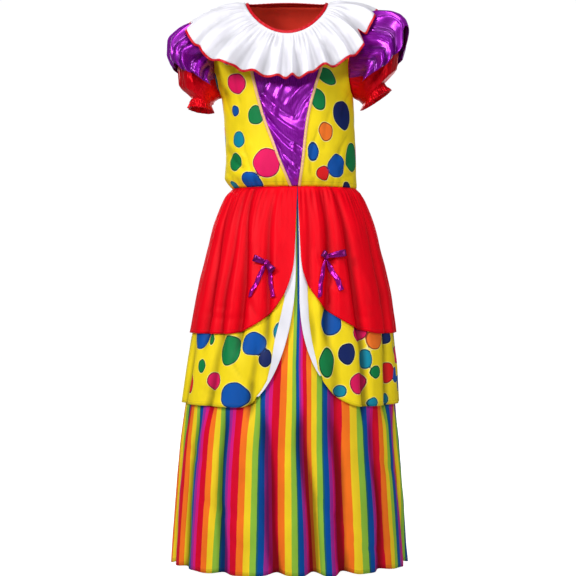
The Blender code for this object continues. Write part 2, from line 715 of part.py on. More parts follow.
def build_skirts():
    cloth(
        "skirt", GRID["skirt"],
        lambda u, v: drape_point("skirt", round_turn(u), mix(SKIRT_HEM, WAIST - SEAM, v)),
        "rainbow_stripe", whole_turn=True,
    )
    for layer, material in (("overskirt", "red_satin"), ("tier", "yellow_satin")):
        gap = seam_turn(layer)
        for word, side in (("left", -1), ("right", 1)):
            build_front(layer, word, side, side * (90 - gap), material)
        grid = GRID[f"{layer}_back"]
        turns = panel_turns(90 + gap, 270 - gap, grid[0], 1.0)
        lows = [CUTAWAY[f"{layer}_left"][3]] * len(turns)
        cloth(f"{layer}_back", grid, panel_place(layer, turns, lows), material)


def build_front(layer, word, side, side_turn, material):
    """A cut-away front of the overskirt or the tier, with the tier's white band."""
    edge = f"{layer}_{word}"
    across, down = GRID[f"{layer}_front"]
    if layer == "overskirt":
        turns = panel_turns(CUTAWAY[edge][0], side_turn, across, 1.25)
        lows = [hem_height(edge, turn) for turn in turns]
    else:
        build_band(edge, word, side, down)
        gap = side * 2 * seam_turn(layer)
        seam = [(turn + gap, height + SEAM) for turn, height in BAND[edge]]
        outer = panel_turns(seam[-1][0] + side, side_turn, across - len(seam), 1.0)
        turns = [turn for turn, _ in seam] + outer
        lows = [height for _, height in seam] + [hem_height(edge, turn) for turn in outer]
    if side < 0:
        turns.reverse()
        lows.reverse()
    cloth(f"{layer}_front_{word}", (len(turns) - 1, down), panel_place(layer, turns, lows), material)


def build_band(edge, word, side, upright_rows):
    """The white band between the tier's cut-away edge and the seam to its cloth."""
    first_turn, first_height = BAND[edge][0]
    rows = list(reversed(BAND[edge]))
    for step in range(1, upright_rows + 1):
        rows.append((first_turn, mix(first_height, WAIST - SEAM, step / upright_rows)))

    def place(u, v):
        index = v * (len(rows) - 1)
        first = min(math.floor(index), len(rows) - 2)
        seam, height = (mix(a, b, index - first) for a, b in zip(rows[first], rows[first + 1]))
        cut = [edge_turn(edge, row[1]) for row in rows[first:first + 2]]
        share = 1 - u if side < 0 else u
        return drape_point("tier", mix(mix(*cut, index - first), seam, share), height)

    cloth(f"tier_band_{word}", (2, len(rows) - 1), place, "white_satin")


# ---------------------------------------------------------------- bows
def overskirt_turn(x, height):
    half = read(HALF_WIDTH["overskirt"], height)
    return math.degrees(math.asin(clamp((x - read(DRAPE, height)) / half, -1, 1)))


def on_overskirt(x, height, lift):
    return drape_point("overskirt", overskirt_turn(x, height), height, lift)


def ribbon_frame(start, end):
    """Directions along a ribbon, across it and away from the skirt."""
    along = (end - start).normalized()
    away = Vector((start.x, 1.6 * start.y, 0.0)).normalized()
    across = along.cross(away).normalized()
    return along, across, across.cross(along).normalized()


def loop_place(knot, end):
    """A loop of ribbon, out from the knot and back over itself."""
    along, across, away = ribbon_frame(knot, end)
    length = (end - knot).length - KNOT[2]
    start = knot + along * (KNOT[2] + SEAM) + away * LOOP_LIFT

    def place(u, v):
        turn = math.radians(mix(38, 322, u))
        out = length * (1 - math.cos(turn)) / 2 - length * (1 - math.cos(math.radians(38))) / 2
        width = LOOP_WIDTH * (0.45 + 0.55 * math.sin(turn / 2))
        return start + along * out + away * (LOOP_RISE * math.sin(turn)) + across * (width * (v - 0.5))

    return place


def tail_place(knot_at, end_at):
    """A ribbon's tail, down from the knot and lying on the overskirt."""

    def place(u, v):
        x = mix(knot_at[0], end_at[0], 1 - v) + (u - 0.5) * TAIL_WIDTH
        return on_overskirt(x, mix(knot_at[1] - KNOT[2] - SEAM, end_at[1], 1 - v), TAIL_LIFT)

    return place


def build_bow(word):
    knot_at, loops, tails = BOWS[word]
    knot = on_overskirt(*knot_at, KNOT[1] + 3 * SEAM)
    shape = bmesh.new()
    bmesh.ops.create_icosphere(shape, subdivisions=2, radius=1.0)
    bmesh.ops.scale(shape, vec=Vector(KNOT), verts=shape.verts[:])
    bmesh.ops.translate(shape, vec=knot, verts=shape.verts[:])
    add_object(f"bow_{word}_knot", shape, "purple_satin")
    for index, end_at in enumerate(loops):
        end = on_overskirt(*end_at, KNOT[1] + 2 * LOOP_RISE)
        cloth(
            f"bow_{word}_loop_{index + 1}", GRID["loop"], loop_place(knot, end), "purple_satin",
            wall=0.001,
        )
    for index, end_at in enumerate(tails):
        sideways = math.copysign(TAIL_WIDTH / 2 + SEAM, end_at[0] - knot_at[0])
        start = (knot_at[0] + sideways, knot_at[1])
        cloth(
            f"bow_{word}_tail_{index + 1}", GRID["tail"], tail_place(start, end_at), "purple_satin",
            wall=0.001,
        )


def build_all():
    for item in list(bpy.data.objects):
        bpy.data.objects.remove(item, do_unlink=True)
    build_bodice()
    build_neck()
    build_sleeves()
    build_skirts()
    for word in BOWS:
        build_bow(word)


build_all()
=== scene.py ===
"""Clown costume: the cloth, prints and sewing of a one-piece dress, with a stage to see it on."""
import math

import bmesh
import bpy
import numpy as np
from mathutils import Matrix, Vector


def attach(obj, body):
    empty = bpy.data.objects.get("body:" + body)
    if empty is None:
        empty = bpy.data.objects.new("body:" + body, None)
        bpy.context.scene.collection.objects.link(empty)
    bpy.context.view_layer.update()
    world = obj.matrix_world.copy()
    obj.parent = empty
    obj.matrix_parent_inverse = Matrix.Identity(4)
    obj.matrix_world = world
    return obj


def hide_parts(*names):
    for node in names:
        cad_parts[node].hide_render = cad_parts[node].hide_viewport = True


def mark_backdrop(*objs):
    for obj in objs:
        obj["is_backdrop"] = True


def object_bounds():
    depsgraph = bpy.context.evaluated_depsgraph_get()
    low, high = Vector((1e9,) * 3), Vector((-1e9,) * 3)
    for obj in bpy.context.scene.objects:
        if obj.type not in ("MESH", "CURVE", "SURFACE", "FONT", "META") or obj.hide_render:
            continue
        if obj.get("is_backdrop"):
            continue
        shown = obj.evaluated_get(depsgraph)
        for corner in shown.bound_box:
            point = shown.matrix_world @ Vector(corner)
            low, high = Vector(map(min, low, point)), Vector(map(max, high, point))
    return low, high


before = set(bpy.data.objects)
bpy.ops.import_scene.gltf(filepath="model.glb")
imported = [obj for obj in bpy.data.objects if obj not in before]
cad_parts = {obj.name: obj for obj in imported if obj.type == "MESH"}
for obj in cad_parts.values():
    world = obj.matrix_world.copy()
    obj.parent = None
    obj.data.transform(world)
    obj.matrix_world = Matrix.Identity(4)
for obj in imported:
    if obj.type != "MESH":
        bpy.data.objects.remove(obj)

bl_info = {
    "name": "Clown dress",
    "version": (1, 0, 0),
    "blender": (4, 5, 0),
    "location": "View3D > Sidebar > Clown dress",
    "description": "Makes a satin clown dress with its collar, sleeves, skirts and bows",
    "category": "Add Mesh",
}


def table(kinds, rows):
    """Rows of sizes in metres; they are written here in millimetres, in the columns marked m."""
    return tuple(
        tuple(value / 1000 if kind == "m" else value for kind, value in zip(kinds, row))
        for row in rows
    )


def tables(kinds, by_name):
    """The same for tables that have names."""
    return {name: table(kinds, rows) for name, rows in by_name.items()}


# ---------------------------------------------------------------- the garment's form, in metres
# A turn is an angle in degrees about the upright axis: 0 is the centre front, 90 the +X side.
SEAM = 0.0003               # gap between two pieces at a seam
SLEEVE_GAP = 0.0009         # gap between a sleeve and the armhole
WAIST = -0.415              # height of the waist seam
ARMPIT = -0.215
NECK_CENTRE = -0.0025       # the neck opening's middle and half width
NECK_HALF = 0.093
NECK_DIP = 0.091            # its fall at the front and at the back
BACK_DIP = 0.012
NECK_ROUND = 1.3            # power that rounds its edge
NECK_RISE = 0.014
SHOULDER_DROP = 0.33        # slope of the shoulders
SHOULDER_ROLL = 0.10        # fall over which the shoulder rounds off
BINDING_WIDTH = 0.006
PIPING_WIDTH = 0.006
EDGING_WIDTH = 0.0045
BODY_ROWS = 5               # rows of the bodice below the armhole, then beside it
ARM_ROWS = 8
NECK_SHARE = 4 / 7          # share of the back's width that lies under the neck
PIPING_ROWS = 9.3           # how far up the bodice the piping runs, and down it the facing
FACING_ROWS = 5

# the bodice's section: height, middle, half width, depth of front and of back
TORSO = table("mmmmm", (
    (0, -3, 190, 88, 97), (-80, -11, 184, 94, 102), (-130, -15.5, 178, 102, 104),
    (-160, -15.2, 168, 108, 106), (-190, -10, 156, 113, 108), (-215, -1, 147, 116, 108),
    (-300, 4.5, 145.5, 118, 110), (-350, 6.5, 145.5, 118, 110), (-390, 5.5, 147, 116, 108),
    (-415, 14.5, 138.5, 105, 96),
))
# the armhole: fall from the shoulder line, turn of the front edge
ARMHOLE = table("m-", (
    (0, 58), (40, 57), (80, 56), (130, 57), (160, 62.5), (190, 72), (205, 80), (215, 90),
))
# the two seams of the front insert: height, x of each
INSERT = table("mmm", (
    (0, -95.5, 90.5), (-8, -99, 94), (-20, -99.5, 94.5), (-50, -97.5, 92.5), (-100, -90, 84),
    (-157, -78, 69), (-196, -69, 57.1), (-231, -60.4, 47.4), (-274, -47.4, 38.8),
    (-317, -31.3, 33.4), (-360, -15.1, 29.1), (-415, 8.5, 21.5),
))
# the ruffle collar's outer edge: turn, x, y, height, arch of the cloth between neck and edge
COLLAR_EDGE = table("-mmmm", (
    (-180, 0, 132, -112, 20), (-155, -75, 130, -108, 20), (-130, -140, 112, -92, 18),
    (-110, -188, 62, -62, 14), (-90, -208, 0, -37, 10), (-75, -203, -62, -66, 14),
    (-62, -185, -94, -100, 14), (-45, -150, -112, -134, 8), (-22, -78, -126, -166, 4),
    (0, -5, -130, -184, 3), (22, 50, -126, -172, 4), (45, 118, -112, -142, 8),
    (62, 152, -92, -112, 12), (75, 172, -62, -60, 14), (90, 194, 0, -14, 10),
    (110, 182, 60, -45, 14), (130, 140, 110, -85, 18), (155, 75, 130, -106, 20),
    (180, 0, 132, -112, 20),
))
# the collar's ruffles, from the back round the -X side: turn, spread in degrees, height
RUFFLES = table("--m", (
    (-171, 8, 12), (-153, 8, 16), (-136, 7, 12), (-120, 7, 14), (-103, 7, 4), (-86, 6, 2),
    (-70, 6, 13), (-55, 6, 12), (-38, 7, 17), (-20, 5, 14), (-8, 4, 9), (5, 4, 19), (19, 6, 13),
    (31, 4, 20), (46, 7, 15), (61, 4, 16), (78, 4, 14), (92, 6, 4), (107, 8, 8), (124, 7, 13),
    (140, 7, 16), (157, 7, 12), (172, 6, 10),
))
# share of its width that the collar's edge reaches to, by turn
COLLAR_REACH = (
    (-180, 1.01), (-110, 1.00), (-92, 1.01), (-78, 1.10), (-60, 1.16), (-40, 1.15), (-20, 1.10),
    (0, 1.07), (20, 1.08), (40, 1.08), (60, 1.06), (76, 1.02), (92, 1.00), (180, 1.01),
)
# where that edge draws back in a narrow wave: turn, spread, share of its width
COLLAR_NOTCHES = (
    (68.5, 1.4, 0.23), (-4.0, 3.6, 0.085), (-31.0, 3.2, 0.045), (27.0, 4.0, 0.07),
    (-59.0, 4.0, 0.05),
)
DROOP = (92.0, 18.0, 0.007)     # the edge droops off the shoulders: turn, spread, depth
# sleeves: place along it, x and height of the outer line, x and height of the underarm, half depth
PUFF = tables("-mmmmm", {
    "left": (
        (1 / 6, -199, -62, -155, -216.5, 62), (2 / 6, -232, -97, -158.5, -219, 71),
        (3 / 6, -247.5, -140, -161.5, -222, 71), (4 / 6, -246, -180, -164.5, -225.5, 67),
        (5 / 6, -219.5, -211, -167.5, -229, 58), (1, -227.5, -234, -161, -242.5, 63),
    ),
    "right": (
        (1 / 6, 194, -46, 151, -216.5, 62), (2 / 6, 233, -68, 154.5, -218.5, 71),
        (3 / 6, 249, -105, 158, -221, 71), (4 / 6, 246, -143, 161.5, -224, 67),
        (5 / 6, 217.3, -172, 165, -227.5, 58), (1, 235, -192, 159, -240, 63),
    ),
})
CASING = 5 / 6              # where the elastic draws the puff in
FLOUNCE = tables("-mmmmm", {
    "left": (
        (0.26, -203, -47, -152, -212, 78), (0.5, -241, -70, -149, -212, 90),
        (0.7, -260, -94, -147, -211, 99), (0.86, -260.5, -123, -147, -209, 104),
        (1, -250, -150, -147, -206, 103),
    ),
    "right": (
        (0.26, 200, -24, 146, -210, 78), (0.5, 240, -34, 141, -210, 90),
        (0.72, 259, -54, 138, -208, 99), (0.86, 262, -90, 138, -206, 104),
        (1, 252, -126, 138, -202, 104),
    ),
})
FLOUNCE_TURN = 123.75       # how far a flounce goes each way from the shoulder
# ridges of the flounces: turn from the shoulder to the front, spread, height
FLOUNCE_RIDGES = tables("--m", {
    "left": (
        (-108, 9, 10), (-84, 8, 13), (-60, 9, 10), (-34, 8, 12), (-10, 7, 7), (12, 7, 10),
        (33, 7, 13), (54, 6, 10), (74, 7, 16), (96, 6, 12), (114, 6, 10),
    ),
    "right": (
        (-110, 9, 10), (-86, 8, 13), (-62, 9, 10), (-38, 8, 12), (-14, 7, 9), (8, 6, 10),
        (27, 6, 12), (50, 6, 18), (72, 7, 12), (92, 6, 15), (113, 7, 11),
    ),
})
# where their hems draw back: turn, spread, share of the length
FLOUNCE_NOTCHES = {
    "left": ((2, 9, 0.07), (44, 8, 0.05), (86, 7, 0.07)),
    "right": ((26, 22, 0.30), (62, 6, 0.05), (104, 8, 0.04)),
}
# the skirts' shared middle and the ratio of depth to half width: height, middle, front, back
DRAPE = table("mm--", (
    (-415, 14.5, 0.758, 0.693), (-460, 13.5, 0.75, 0.71), (-560, 14, 0.745, 0.74),
    (-650, 13.5, 0.755, 0.76), (-735, 11.5, 0.77, 0.78), (-890, 6.5, 0.785, 0.79),
    (-1000, 3, 0.78, 0.79), (-1243, 3, 0.76, 0.78),
))
# each layer of the skirts: height, half width
HALF_WIDTH = tables("mm", {
    "overskirt": (
        (-415, 138.5), (-430, 150), (-460, 165.5), (-500, 181), (-560, 196.5), (-650, 218),
        (-735, 231.5),
    ),
    "tier": (
        (-415, 136.1), (-430, 145), (-460, 159.5), (-500, 174.5), (-560, 189.5), (-650, 211),
        (-735, 225), (-800, 234.5), (-890, 244.5),
    ),
    "skirt": (
        (-415, 133.7), (-430, 141.5), (-460, 154), (-500, 168), (-560, 182), (-650, 203),
        (-735, 217), (-800, 225.5), (-890, 235), (-1000, 246), (-1120, 256.5), (-1243, 264.5),
    ),
})
# where a layer's folds start and end, and where a layer changes from the folds over it to its own
FOLD_REACH = {"overskirt": (-0.415, -0.735), "tier": (-0.650, -0.890), "skirt": (-0.800, -1.243)}
FOLD_CHANGE = {"tier": (-0.715, -0.800), "skirt": (-0.860, -0.950)}
# folds: turn at the top, turn at the hem, spread in degrees, depth
FOLDS = tables("---m", {
    "overskirt": (
        (-62, -57, 6, 7), (-45, -43, 5, 5), (-37, -31, 5, 10), (-17, -16, 4, 6), (10, 11, 4, 4),
        (24, 20, 5, 9), (36, 41, 5, 9), (66, 64, 5, 9), (86, 84, 6, 6), (104, 108, 6, 8),
        (128, 124, 5, 7), (146, 149, 6, 9), (170, 167, 5, 6), (190, 193, 6, 9), (214, 210, 5, 7),
        (236, 240, 6, 8), (262, 258, 6, 7),
    ),
    "tier": (
        (-72, -74, 6, 6), (-46, -48, 6, 7), (-22, -21, 4, 6), (24, 22, 6, 6), (40, 43, 4, 8),
        (60, 62, 6, 7), (82, 84, 6, 6), (110, 107, 6, 8), (133, 137, 6, 8), (160, 156, 6, 7),
        (182, 186, 6, 8), (206, 203, 6, 7), (230, 234, 6, 8), (256, 252, 6, 6),
    ),
    "skirt": (
        (-57, -62, 6, 7), (-38, -35, 6, 9), (-17, -6, 6, 13), (4, 13, 6, 14), (21, 28, 6, 12),
        (48, 50, 5, 7), (75, 78, 6, 9), (100, 103, 7, 10), (124, 120, 7, 12), (147, 152, 7, 12),
        (170, 166, 7, 10), (192, 198, 7, 12), (215, 210, 7, 12), (238, 243, 7, 10),
        (262, 258, 7, 10), (283, 281, 6, 9),
    ),
})
# how much deeper and how much narrower they are than their rows say
FOLD_DEPTH = {"overskirt": 1.9, "tier": 1.6, "skirt": 1.7}
FOLD_SPREAD = {"overskirt": 0.74, "tier": 0.80, "skirt": 0.74}
# how a fold is read for its painted shade: distance to the ridges beside it, and the depth that
# counts as full
FOLD_SHADE_READINGS = ((0.022, 0.0080), (0.009, 0.0034), (0.004, 0.0020))
# the cut-away front edges: turn of the upright edge, turn where it meets the hem, rise, hem
CUTAWAY = {
    "overskirt_left": (-0.8, -41.0, 0.167, -0.735),
    "overskirt_right": (4.2, 58.0, 0.170, -0.735),
    "tier_left": (0.9, -28.0, 0.310, -0.890),
    "tier_right": (3.0, 40.0, 0.240, -0.890),
}
# how far the overskirt's upright edges close the slit at the waist, in degrees, and down to where
SLIT_CLOSING = {"left": 3.2, "right": -1.5}
SLIT_DEPTH = 0.195
# seam of the white band and the tier's cloth: turn, height (above the first, it runs upright)
BAND = tables("-m", {
    "tier_left": (
        (-5.7, -661), (-10, -746), (-11.3, -795), (-12.8, -831), (-15.3, -852), (-18, -866),
    ),
    "tier_right": (
        (8, -661), (8.6, -703.5), (10.1, -746), (12.4, -789), (13.4, -810), (15.2, -822),
    ),
})
SKIRT_HEM = -1.243
HEM_WANDER = 0.0025         # how unevenly it hangs
HEM_LIFT = 0.34             # share of a fold's depth by which it rises there
# bows: x and height of the knot, then of the far ends of its two loops and its two tails
BOWS = tables("mm", {
    "left": ((-46.5, -582), (-72, -570), (-28, -601), (-81, -655), (-32.5, -655)),
    "right": ((83, -568), (70, -560), (124, -559), (66.5, -655), (113, -640)),
})
RIBBON_WALL = 0.0005
LOOP_WIDTH = 0.0150
LOOP_RISE = 0.0042
LOOP_LIFT = 0.0016
LOOP_ENDS = 30              # degrees of a loop's turn that its knot hides
# lengths of ribbon that the loops are cut from
LOOP_LENGTHS = {"left": (0.055, 0.055), "right": (0.030, 0.080)}
TAIL_WIDTH = 0.0100
TAIL_LIFT = 0.0020
KNOT = (0.0066, 0.0056, 0.0070)     # half its width, depth and height
KNOT_SUNK = 0.0006          # how far it sinks into the overskirt

# ---------------------------------------------------------------- creases placed one by one
# where a crease starts and ends (x, height), its spread and its depth; minus is a trough
CREASES = tables("mmmmmm", {
    "body": (
        (-135, -330, -96, -375, 6, -3.2), (-130, -316, -92, -352, 5, 2.2),
        (-138, -378, -108, -400, 5, -2.2), (-118, -150, -102, -235, 7, -1.4),
        (-140, -205, -118, -262, 6, -2.2), (-98, -300, -72, -392, 6, -1.2),
        (140, -200, 118, -262, 6, -2.2), (132, -300, 108, -352, 6, -2.2),
        (138, -356, 112, -388, 5, -2), (62, -300, 48, -390, 5, -1.4),
        (92, -250, 78, -330, 7, -1.2), (118, -395, 150, -380, 4, -1.6),
    ),
    "insert": (
        (-62, -205, 4, -262, 6.1, -2), (-56, -235, 20, -300, 5.4, 1.8),
        (-48, -262, 26, -330, 4.7, -2.2), (-38, -290, 24, -352, 4.7, 1.6),
        (-30, -316, 22, -372, 4.3, -1.8), (-20, -340, 20, -388, 4.1, -1.4),
        (44, -190, -4, -244, 6.8, 1.5), (50, -215, 16, -268, 5.4, -1.6),
        (-10, -190, -30, -270, 6.1, 1.4), (12, -320, 22, -400, 4.1, 1.5),
        (-2, -365, 16, -408, 3.8, -1.4), (-44, -190, -60, -222, 5.4, -1.4),
    ),
})
# soft cross creases of the skirts: turn and height of each end, spread, depth
SKIRT_CREASES = tables("-m-mmm", {
    "overskirt": (
        (-60, -690, -30, -700, 7, -1.2), (-54, -672, -38, -678, 5, -0.9),
        (30, -690, 52, -696, 6, -1.2), (46, -672, 66, -664, 6, -1),
        (-30, -620, -20, -700, 8, -1.8), (12, -560, 26, -650, 8, 1.6),
        (150, -690, 176, -698, 7, -1.2), (200, -676, 224, -684, 6, -1.1),
    ),
    "tier": (
        (-34, -790, -20, -846, 7, -1.6), (-58, -850, -36, -868, 6, -1.2),
        (20, -800, 36, -862, 7, -1.8), (50, -850, 68, -842, 6, -1.2),
        (130, -850, 160, -862, 7, -1.4), (190, -852, 220, -846, 7, -1.4),
    ),
    "skirt": (
        (-50, -1080, -26, -1120, 10, -2), (-30, -1170, -12, -1192, 8, -1.6),
        (14, -1090, 34, -1140, 10, -2), (30, -1180, 56, -1196, 8, -1.8),
        (-66, -980, -48, -1010, 8, -1.4), (52, -1000, 72, -1040, 10, -1.6),
        (120, -1100, 150, -1140, 10, -2), (200, -1120, 232, -1150, 10, -2),
    ),
})
# creases of a puff: share of the turn and place along it of each end, spread, depth
PUFF_CREASES = (
    (0.06, 0.42, 0.14, 0.74, 0.030, -0.0030), (0.93, 0.36, 0.86, 0.70, 0.030, -0.0026),
    (0.20, 0.30, 0.27, 0.62, 0.028, -0.0024), (0.50, 0.40, 0.46, 0.72, 0.030, -0.0026),
    (0.72, 0.42, 0.76, 0.70, 0.030, -0.0024), (0.01, 0.50, 0.03, 0.78, 0.024, 0.0020),
)

# ---------------------------------------------------------------- gathers and slack, in metres
# gathers: how many fit in the whole width, the phase and size of their unevenness, depth
GATHERS = {
    "blousing": (34, 0.6, 0.75, 0.0020), "insert pucker": (34, 0.9, 1.3, 0.0011),
    "collar, fine": (78, 0.4, 2.2, 0.0030), "collar, wide": (34, 2.2, 3.2, 0.0040),
    "puff head": (38, 1.1, 0.75, 0.0022), "puff casing": (34, 2.7, 0.75, 0.0046),
    "puff frill": (21, 0.5, 1.4, 0.0062), "flounce head": (44, 0.3, 0.75, 0.0018),
    "flounce middle": (19, 1.0, 2.4, 0.0022), "waist, fine": (88, 1.9, 1.1, 0.0034),
    "waist, wide": (29, 0.2, 2.2, 0.0046),
}
WAIST_REACH = 0.075         # how far the waist's gathers go down the overskirt
BODY_SLACK = 0.0009
COLLAR_SLACK = 0.0012
PUFF_CRUSHING = (0.0036, 0.0024)
FLOUNCE_SLACK = 0.0016
SKIRT_SLACK = 0.0016
INSERT_CREASING = 2.2       # how much deeper the insert's creases are than their rows say
RIDGE_HEIGHT = 1.15         # and the flounces' ridges
PIPING_LIFT = 0.0016        # how far the piping stands off the bodice
PIPING_ROUND = 0.0009
PIPING_TWIST = 0.0003
FACING_DEPTH = 0.0016       # how far in the facing lies
TAPE_GAP = 0.0009           # the neck's binding: gap to the edge, then its lift and its ripple
TAPE_LIFT = 0.0003
TAPE_RIPPLE = 0.00025
EDGING_LIFT = 0.0004
COLLAR_LIFT = 0.0022        # how far the collar stands off its form at the neck, then further out
COLLAR_RISE = 0.0024
PUFF_DRAWN_IN = 0.0035
CASING_PINCH = 0.0012
FLOUNCE_LIFT = 0.0012

# ---------------------------------------------------------------- the dotted print
INKS = {
    "teal": (0.004, 0.25, 0.38), "pink": (0.83, 0.008, 0.12), "blue": (0.002, 0.09, 0.42),
    "green": (0.004, 0.22, 0.06), "navy": (0.006, 0.018, 0.12), "orange": (0.94, 0.19, 0.020),
    "red": (0.82, 0.012, 0.014),
}
# dots of the print: ink, x, height and half sizes across and down
DOTS = tables("-mmmm", {
    "bodice": (
        ("teal", -156, -179, 8, 26), ("pink", -106, -190, 22, 22), ("blue", -115, -248, 9, 12),
        ("green", -69, -261, 16, 21), ("teal", -110, -311, 11, 18), ("pink", -50, -365, 28, 32),
        ("green", -120, -359, 16, 20), ("blue", -87, -404, 19, 22), ("teal", -128, -413, 9, 13),
        ("navy", -50, -422, 6, 6), ("green", 104, -175, 17, 19), ("green", 63, -227, 15, 24),
        ("navy", 115, -257, 17, 32), ("orange", 74, -296, 14, 21), ("blue", 45, -341, 11, 21),
        ("green", 134, -348, 11, 32), ("blue", 97, -370, 17, 26), ("red", 67, -387, 13, 16),
        ("navy", 115, -415, 9, 13), ("orange", -145, -290, 5, 14), ("blue", -128, -130, 14, 18),
        ("red", 125, -120, 15, 18), ("teal", -85, -115, 16, 18), ("navy", 85, -110, 14, 18),
        ("pink", 140, -60, 16, 18), ("green", -120, -60, 16, 20), ("pink", 300, -332, 22, 22),
        ("teal", 300, -262, 14, 16), ("orange", 300, -394, 12, 12), ("blue", -300, -302, 21, 20),
        ("red", -300, -232, 13, 14), ("teal", -300, -366, 12, 12),
    ),
    "tier": (
        ("blue", -202, -746, 11, 23), ("green", -176, -746, 5, 13), ("green", -134, -770, 20, 32),
        ("blue", -83, -755, 25, 25), ("navy", -57, -785, 15, 19), ("teal", -28, -729, 15, 21),
        ("green", -195, -805, 7, 15), ("pink", -168, -836, 19, 19), ("red", -220, -846, 5, 21),
        ("blue", -119, -865, 28, 28), ("blue", 81, -708, 19, 30), ("green", 72, -795, 17, 32),
        ("navy", 114, -776, 16, 23), ("pink", 144, -734, 15, 17), ("orange", 176, -746, 15, 23),
        ("navy", 208, -744, 10, 15), ("green", 225, -768, 5, 17), ("teal", 157, -789, 11, 21),
        ("green", 177, -817, 11, 14), ("pink", 142, -840, 19, 23), ("red", 212, -821, 11, 23),
        ("blue", 227, -827, 6, 17), ("teal", 174, -882, 13, 11), ("teal", 210, -878, 13, 13),
        ("teal", 102, -855, 13, 13), ("pink", -190, -690, 12, 20), ("orange", 200, -680, 12, 20),
        ("teal", -110, -690, 18, 18), ("red", 130, -670, 16, 20), ("green", -60, -640, 16, 20),
        ("pink", 300, -785, 22, 20), ("blue", 300, -848, 18, 18), ("navy", -300, -752, 18, 18),
        ("teal", -300, -818, 20, 18),
    ),
})
# more of them, on the back alone
DOTS_BEHIND = tables("-mmmm", {
    "bodice": (
        ("green", 10, -330, 17, 24), ("blue", -18, -255, 19, 22), ("pink", 34, -205, 21, 21),
        ("teal", 0, -170, 11, 18), ("orange", -52, -195, 12, 16), ("navy", 18, -395, 14, 19),
        ("red", 40, -280, 12, 14), ("green", -45, -300, 12, 18), ("teal", -12, -372, 10, 10),
        ("blue", 12, -120, 16, 20), ("pink", -40, -125, 15, 15),
    ),
    "tier": (
        ("pink", 12, -800, 22, 24), ("green", 30, -738, 15, 22), ("orange", -6, -862, 15, 18),
        ("blue", 48, -850, 22, 26), ("teal", -52, -862, 14, 16), ("red", -78, -820, 11, 14),
        ("pink", -22, -690, 16, 20),
    ),
})
REPEATS = 18                # rainbows round the skirt
STRIPE_START = 0.64         # share of a repeat at the centre back
# share of a repeat that the deepest folds take in: the fold's turn at the top, share
STRIPES_TAKEN = {4: 0.45, -17: 0.10}
# where the stripes lie wider or closer than even: turn, spread in degrees, share of a repeat
STRIPE_SHIFTS = ((36.0, 13.0, -0.30), (150.0, 30.0, 0.30))
# a rainbow of the skirt: where each stripe ends in the repeat, its colour
STRIPES = {
    "crimson": (0.180, (0.72, 0.001, 0.024)), "orange": (0.345, (0.98, 0.19, 0.014)),
    "yellow": (0.500, (0.94, 0.67, 0.020)), "green": (0.635, (0.28, 0.54, 0.050)),
    "dark_teal": (0.675, (0.010, 0.12, 0.14)), "blue": (0.800, (0.001, 0.075, 0.36)),
    "purple": (0.900, (0.36, 0.025, 0.32)), "magenta": (1.000, (0.72, 0.010, 0.23)),
}
STRIPE_SHAKE = 0.010        # share of a repeat by which their edges wander
PRINT_ROUNDNESS = 0.75      # depth over half width where the dots are laid round
DOT_BLUR = 0.00035          # of a dot's edge, then the widths of its halo and its rim
DOT_HALO = 0.0011
DOT_RIM = 0.0021
HALO_COLOUR = (0.95, 0.84, 0.28)
RIM_DARKNESS = 0.68


# ---------------------------------------------------------------- sums on whole rows of values
def mix(a, b, share):
    return a + (b - a) * share


def ease(value):
    value = np.clip(value, 0.0, 1.0)
    return value * value * (3.0 - 2.0 * value)


def read(rows, at, column=1):
    """One column of a table at values of its first column, on a smooth curve without overshoot."""
    pairs = np.array([(row[0], row[column]) for row in rows], float)
    if pairs[0, 0] > pairs[-1, 0]:
        pairs = pairs[::-1]
    keys, values = pairs.T
    at = np.clip(at, keys[0], keys[-1])
    gaps = np.diff(keys)
    slopes = np.diff(values) / gaps
    ends = np.zeros(len(keys))
    ends[0], ends[-1] = slopes[0], slopes[-1]
    both = slopes[:-1] * slopes[1:]
    total = np.where(both > 0, slopes[:-1] + slopes[1:], 1.0)
    ends[1:-1] = np.where(both > 0, 2 * both / total, 0.0)
    index = np.clip(np.searchsorted(keys, at, side="right") - 1, 0, len(gaps) - 1)
    gap = gaps[index]
    t = (at - keys[index]) / gap
    return (
        values[index] * (1 + 2 * t) * (1 - t) ** 2
        + gap * ends[index] * t * (1 - t) ** 2
        + values[index + 1] * t * t * (3 - 2 * t)
        + gap * ends[index + 1] * t * t * (t - 1)
    )


def degrees_apart(a, b):
    return (a - b + 180.0) % 360.0 - 180.0


def sine(degrees):
    return np.sin(np.radians(degrees))


def cosine(degrees):
    return np.cos(np.radians(degrees))


def stack(x, y, z):
    return np.stack(np.broadcast_arrays(x, y, z), axis=-1)


def unit(vectors):
    return vectors / np.maximum(np.linalg.norm(vectors, axis=-1, keepdims=True), 1e-12)


def uneven(at, seed, spread=1.0):
    """A slow wander between about -1 and 1, made of sines that don't share a period."""
    at = at / spread
    return (
        np.sin(at * 1.00 + seed) + 0.7 * np.sin(at * 2.17 + 2.3 * seed + 1.0)
        + 0.45 * np.sin(at * 4.31 + 3.1 * seed)
    ) / 2.15


def gathers(name, at, shift=0.0, middle=0.0):
    """Soft pleats at uneven places, in metres from a middle height; at runs from 0 to 1."""
    count, seed, jitter, depth = GATHERS[name]
    seed = seed + shift
    phase = 2 * np.pi * count * at + jitter * (
        np.sin(2 * np.pi * 7 * at + seed) + np.sin(2 * np.pi * 13 * at + 2.1 * seed)
    )
    height = 0.5 + 0.5 * np.cos(phase)
    size = 0.72 + 0.28 * np.sin(2 * np.pi * (count * 0.37) * at + seed * 1.7)
    return (height**1.3 * size - middle) * depth


def bumps(rows, turn):
    """The summed height of soft bumps round an edge: turn, spread, height."""
    return sum(
        height * np.exp(-((degrees_apart(turn, at) / spread) ** 2)) for at, spread, height in rows
    )


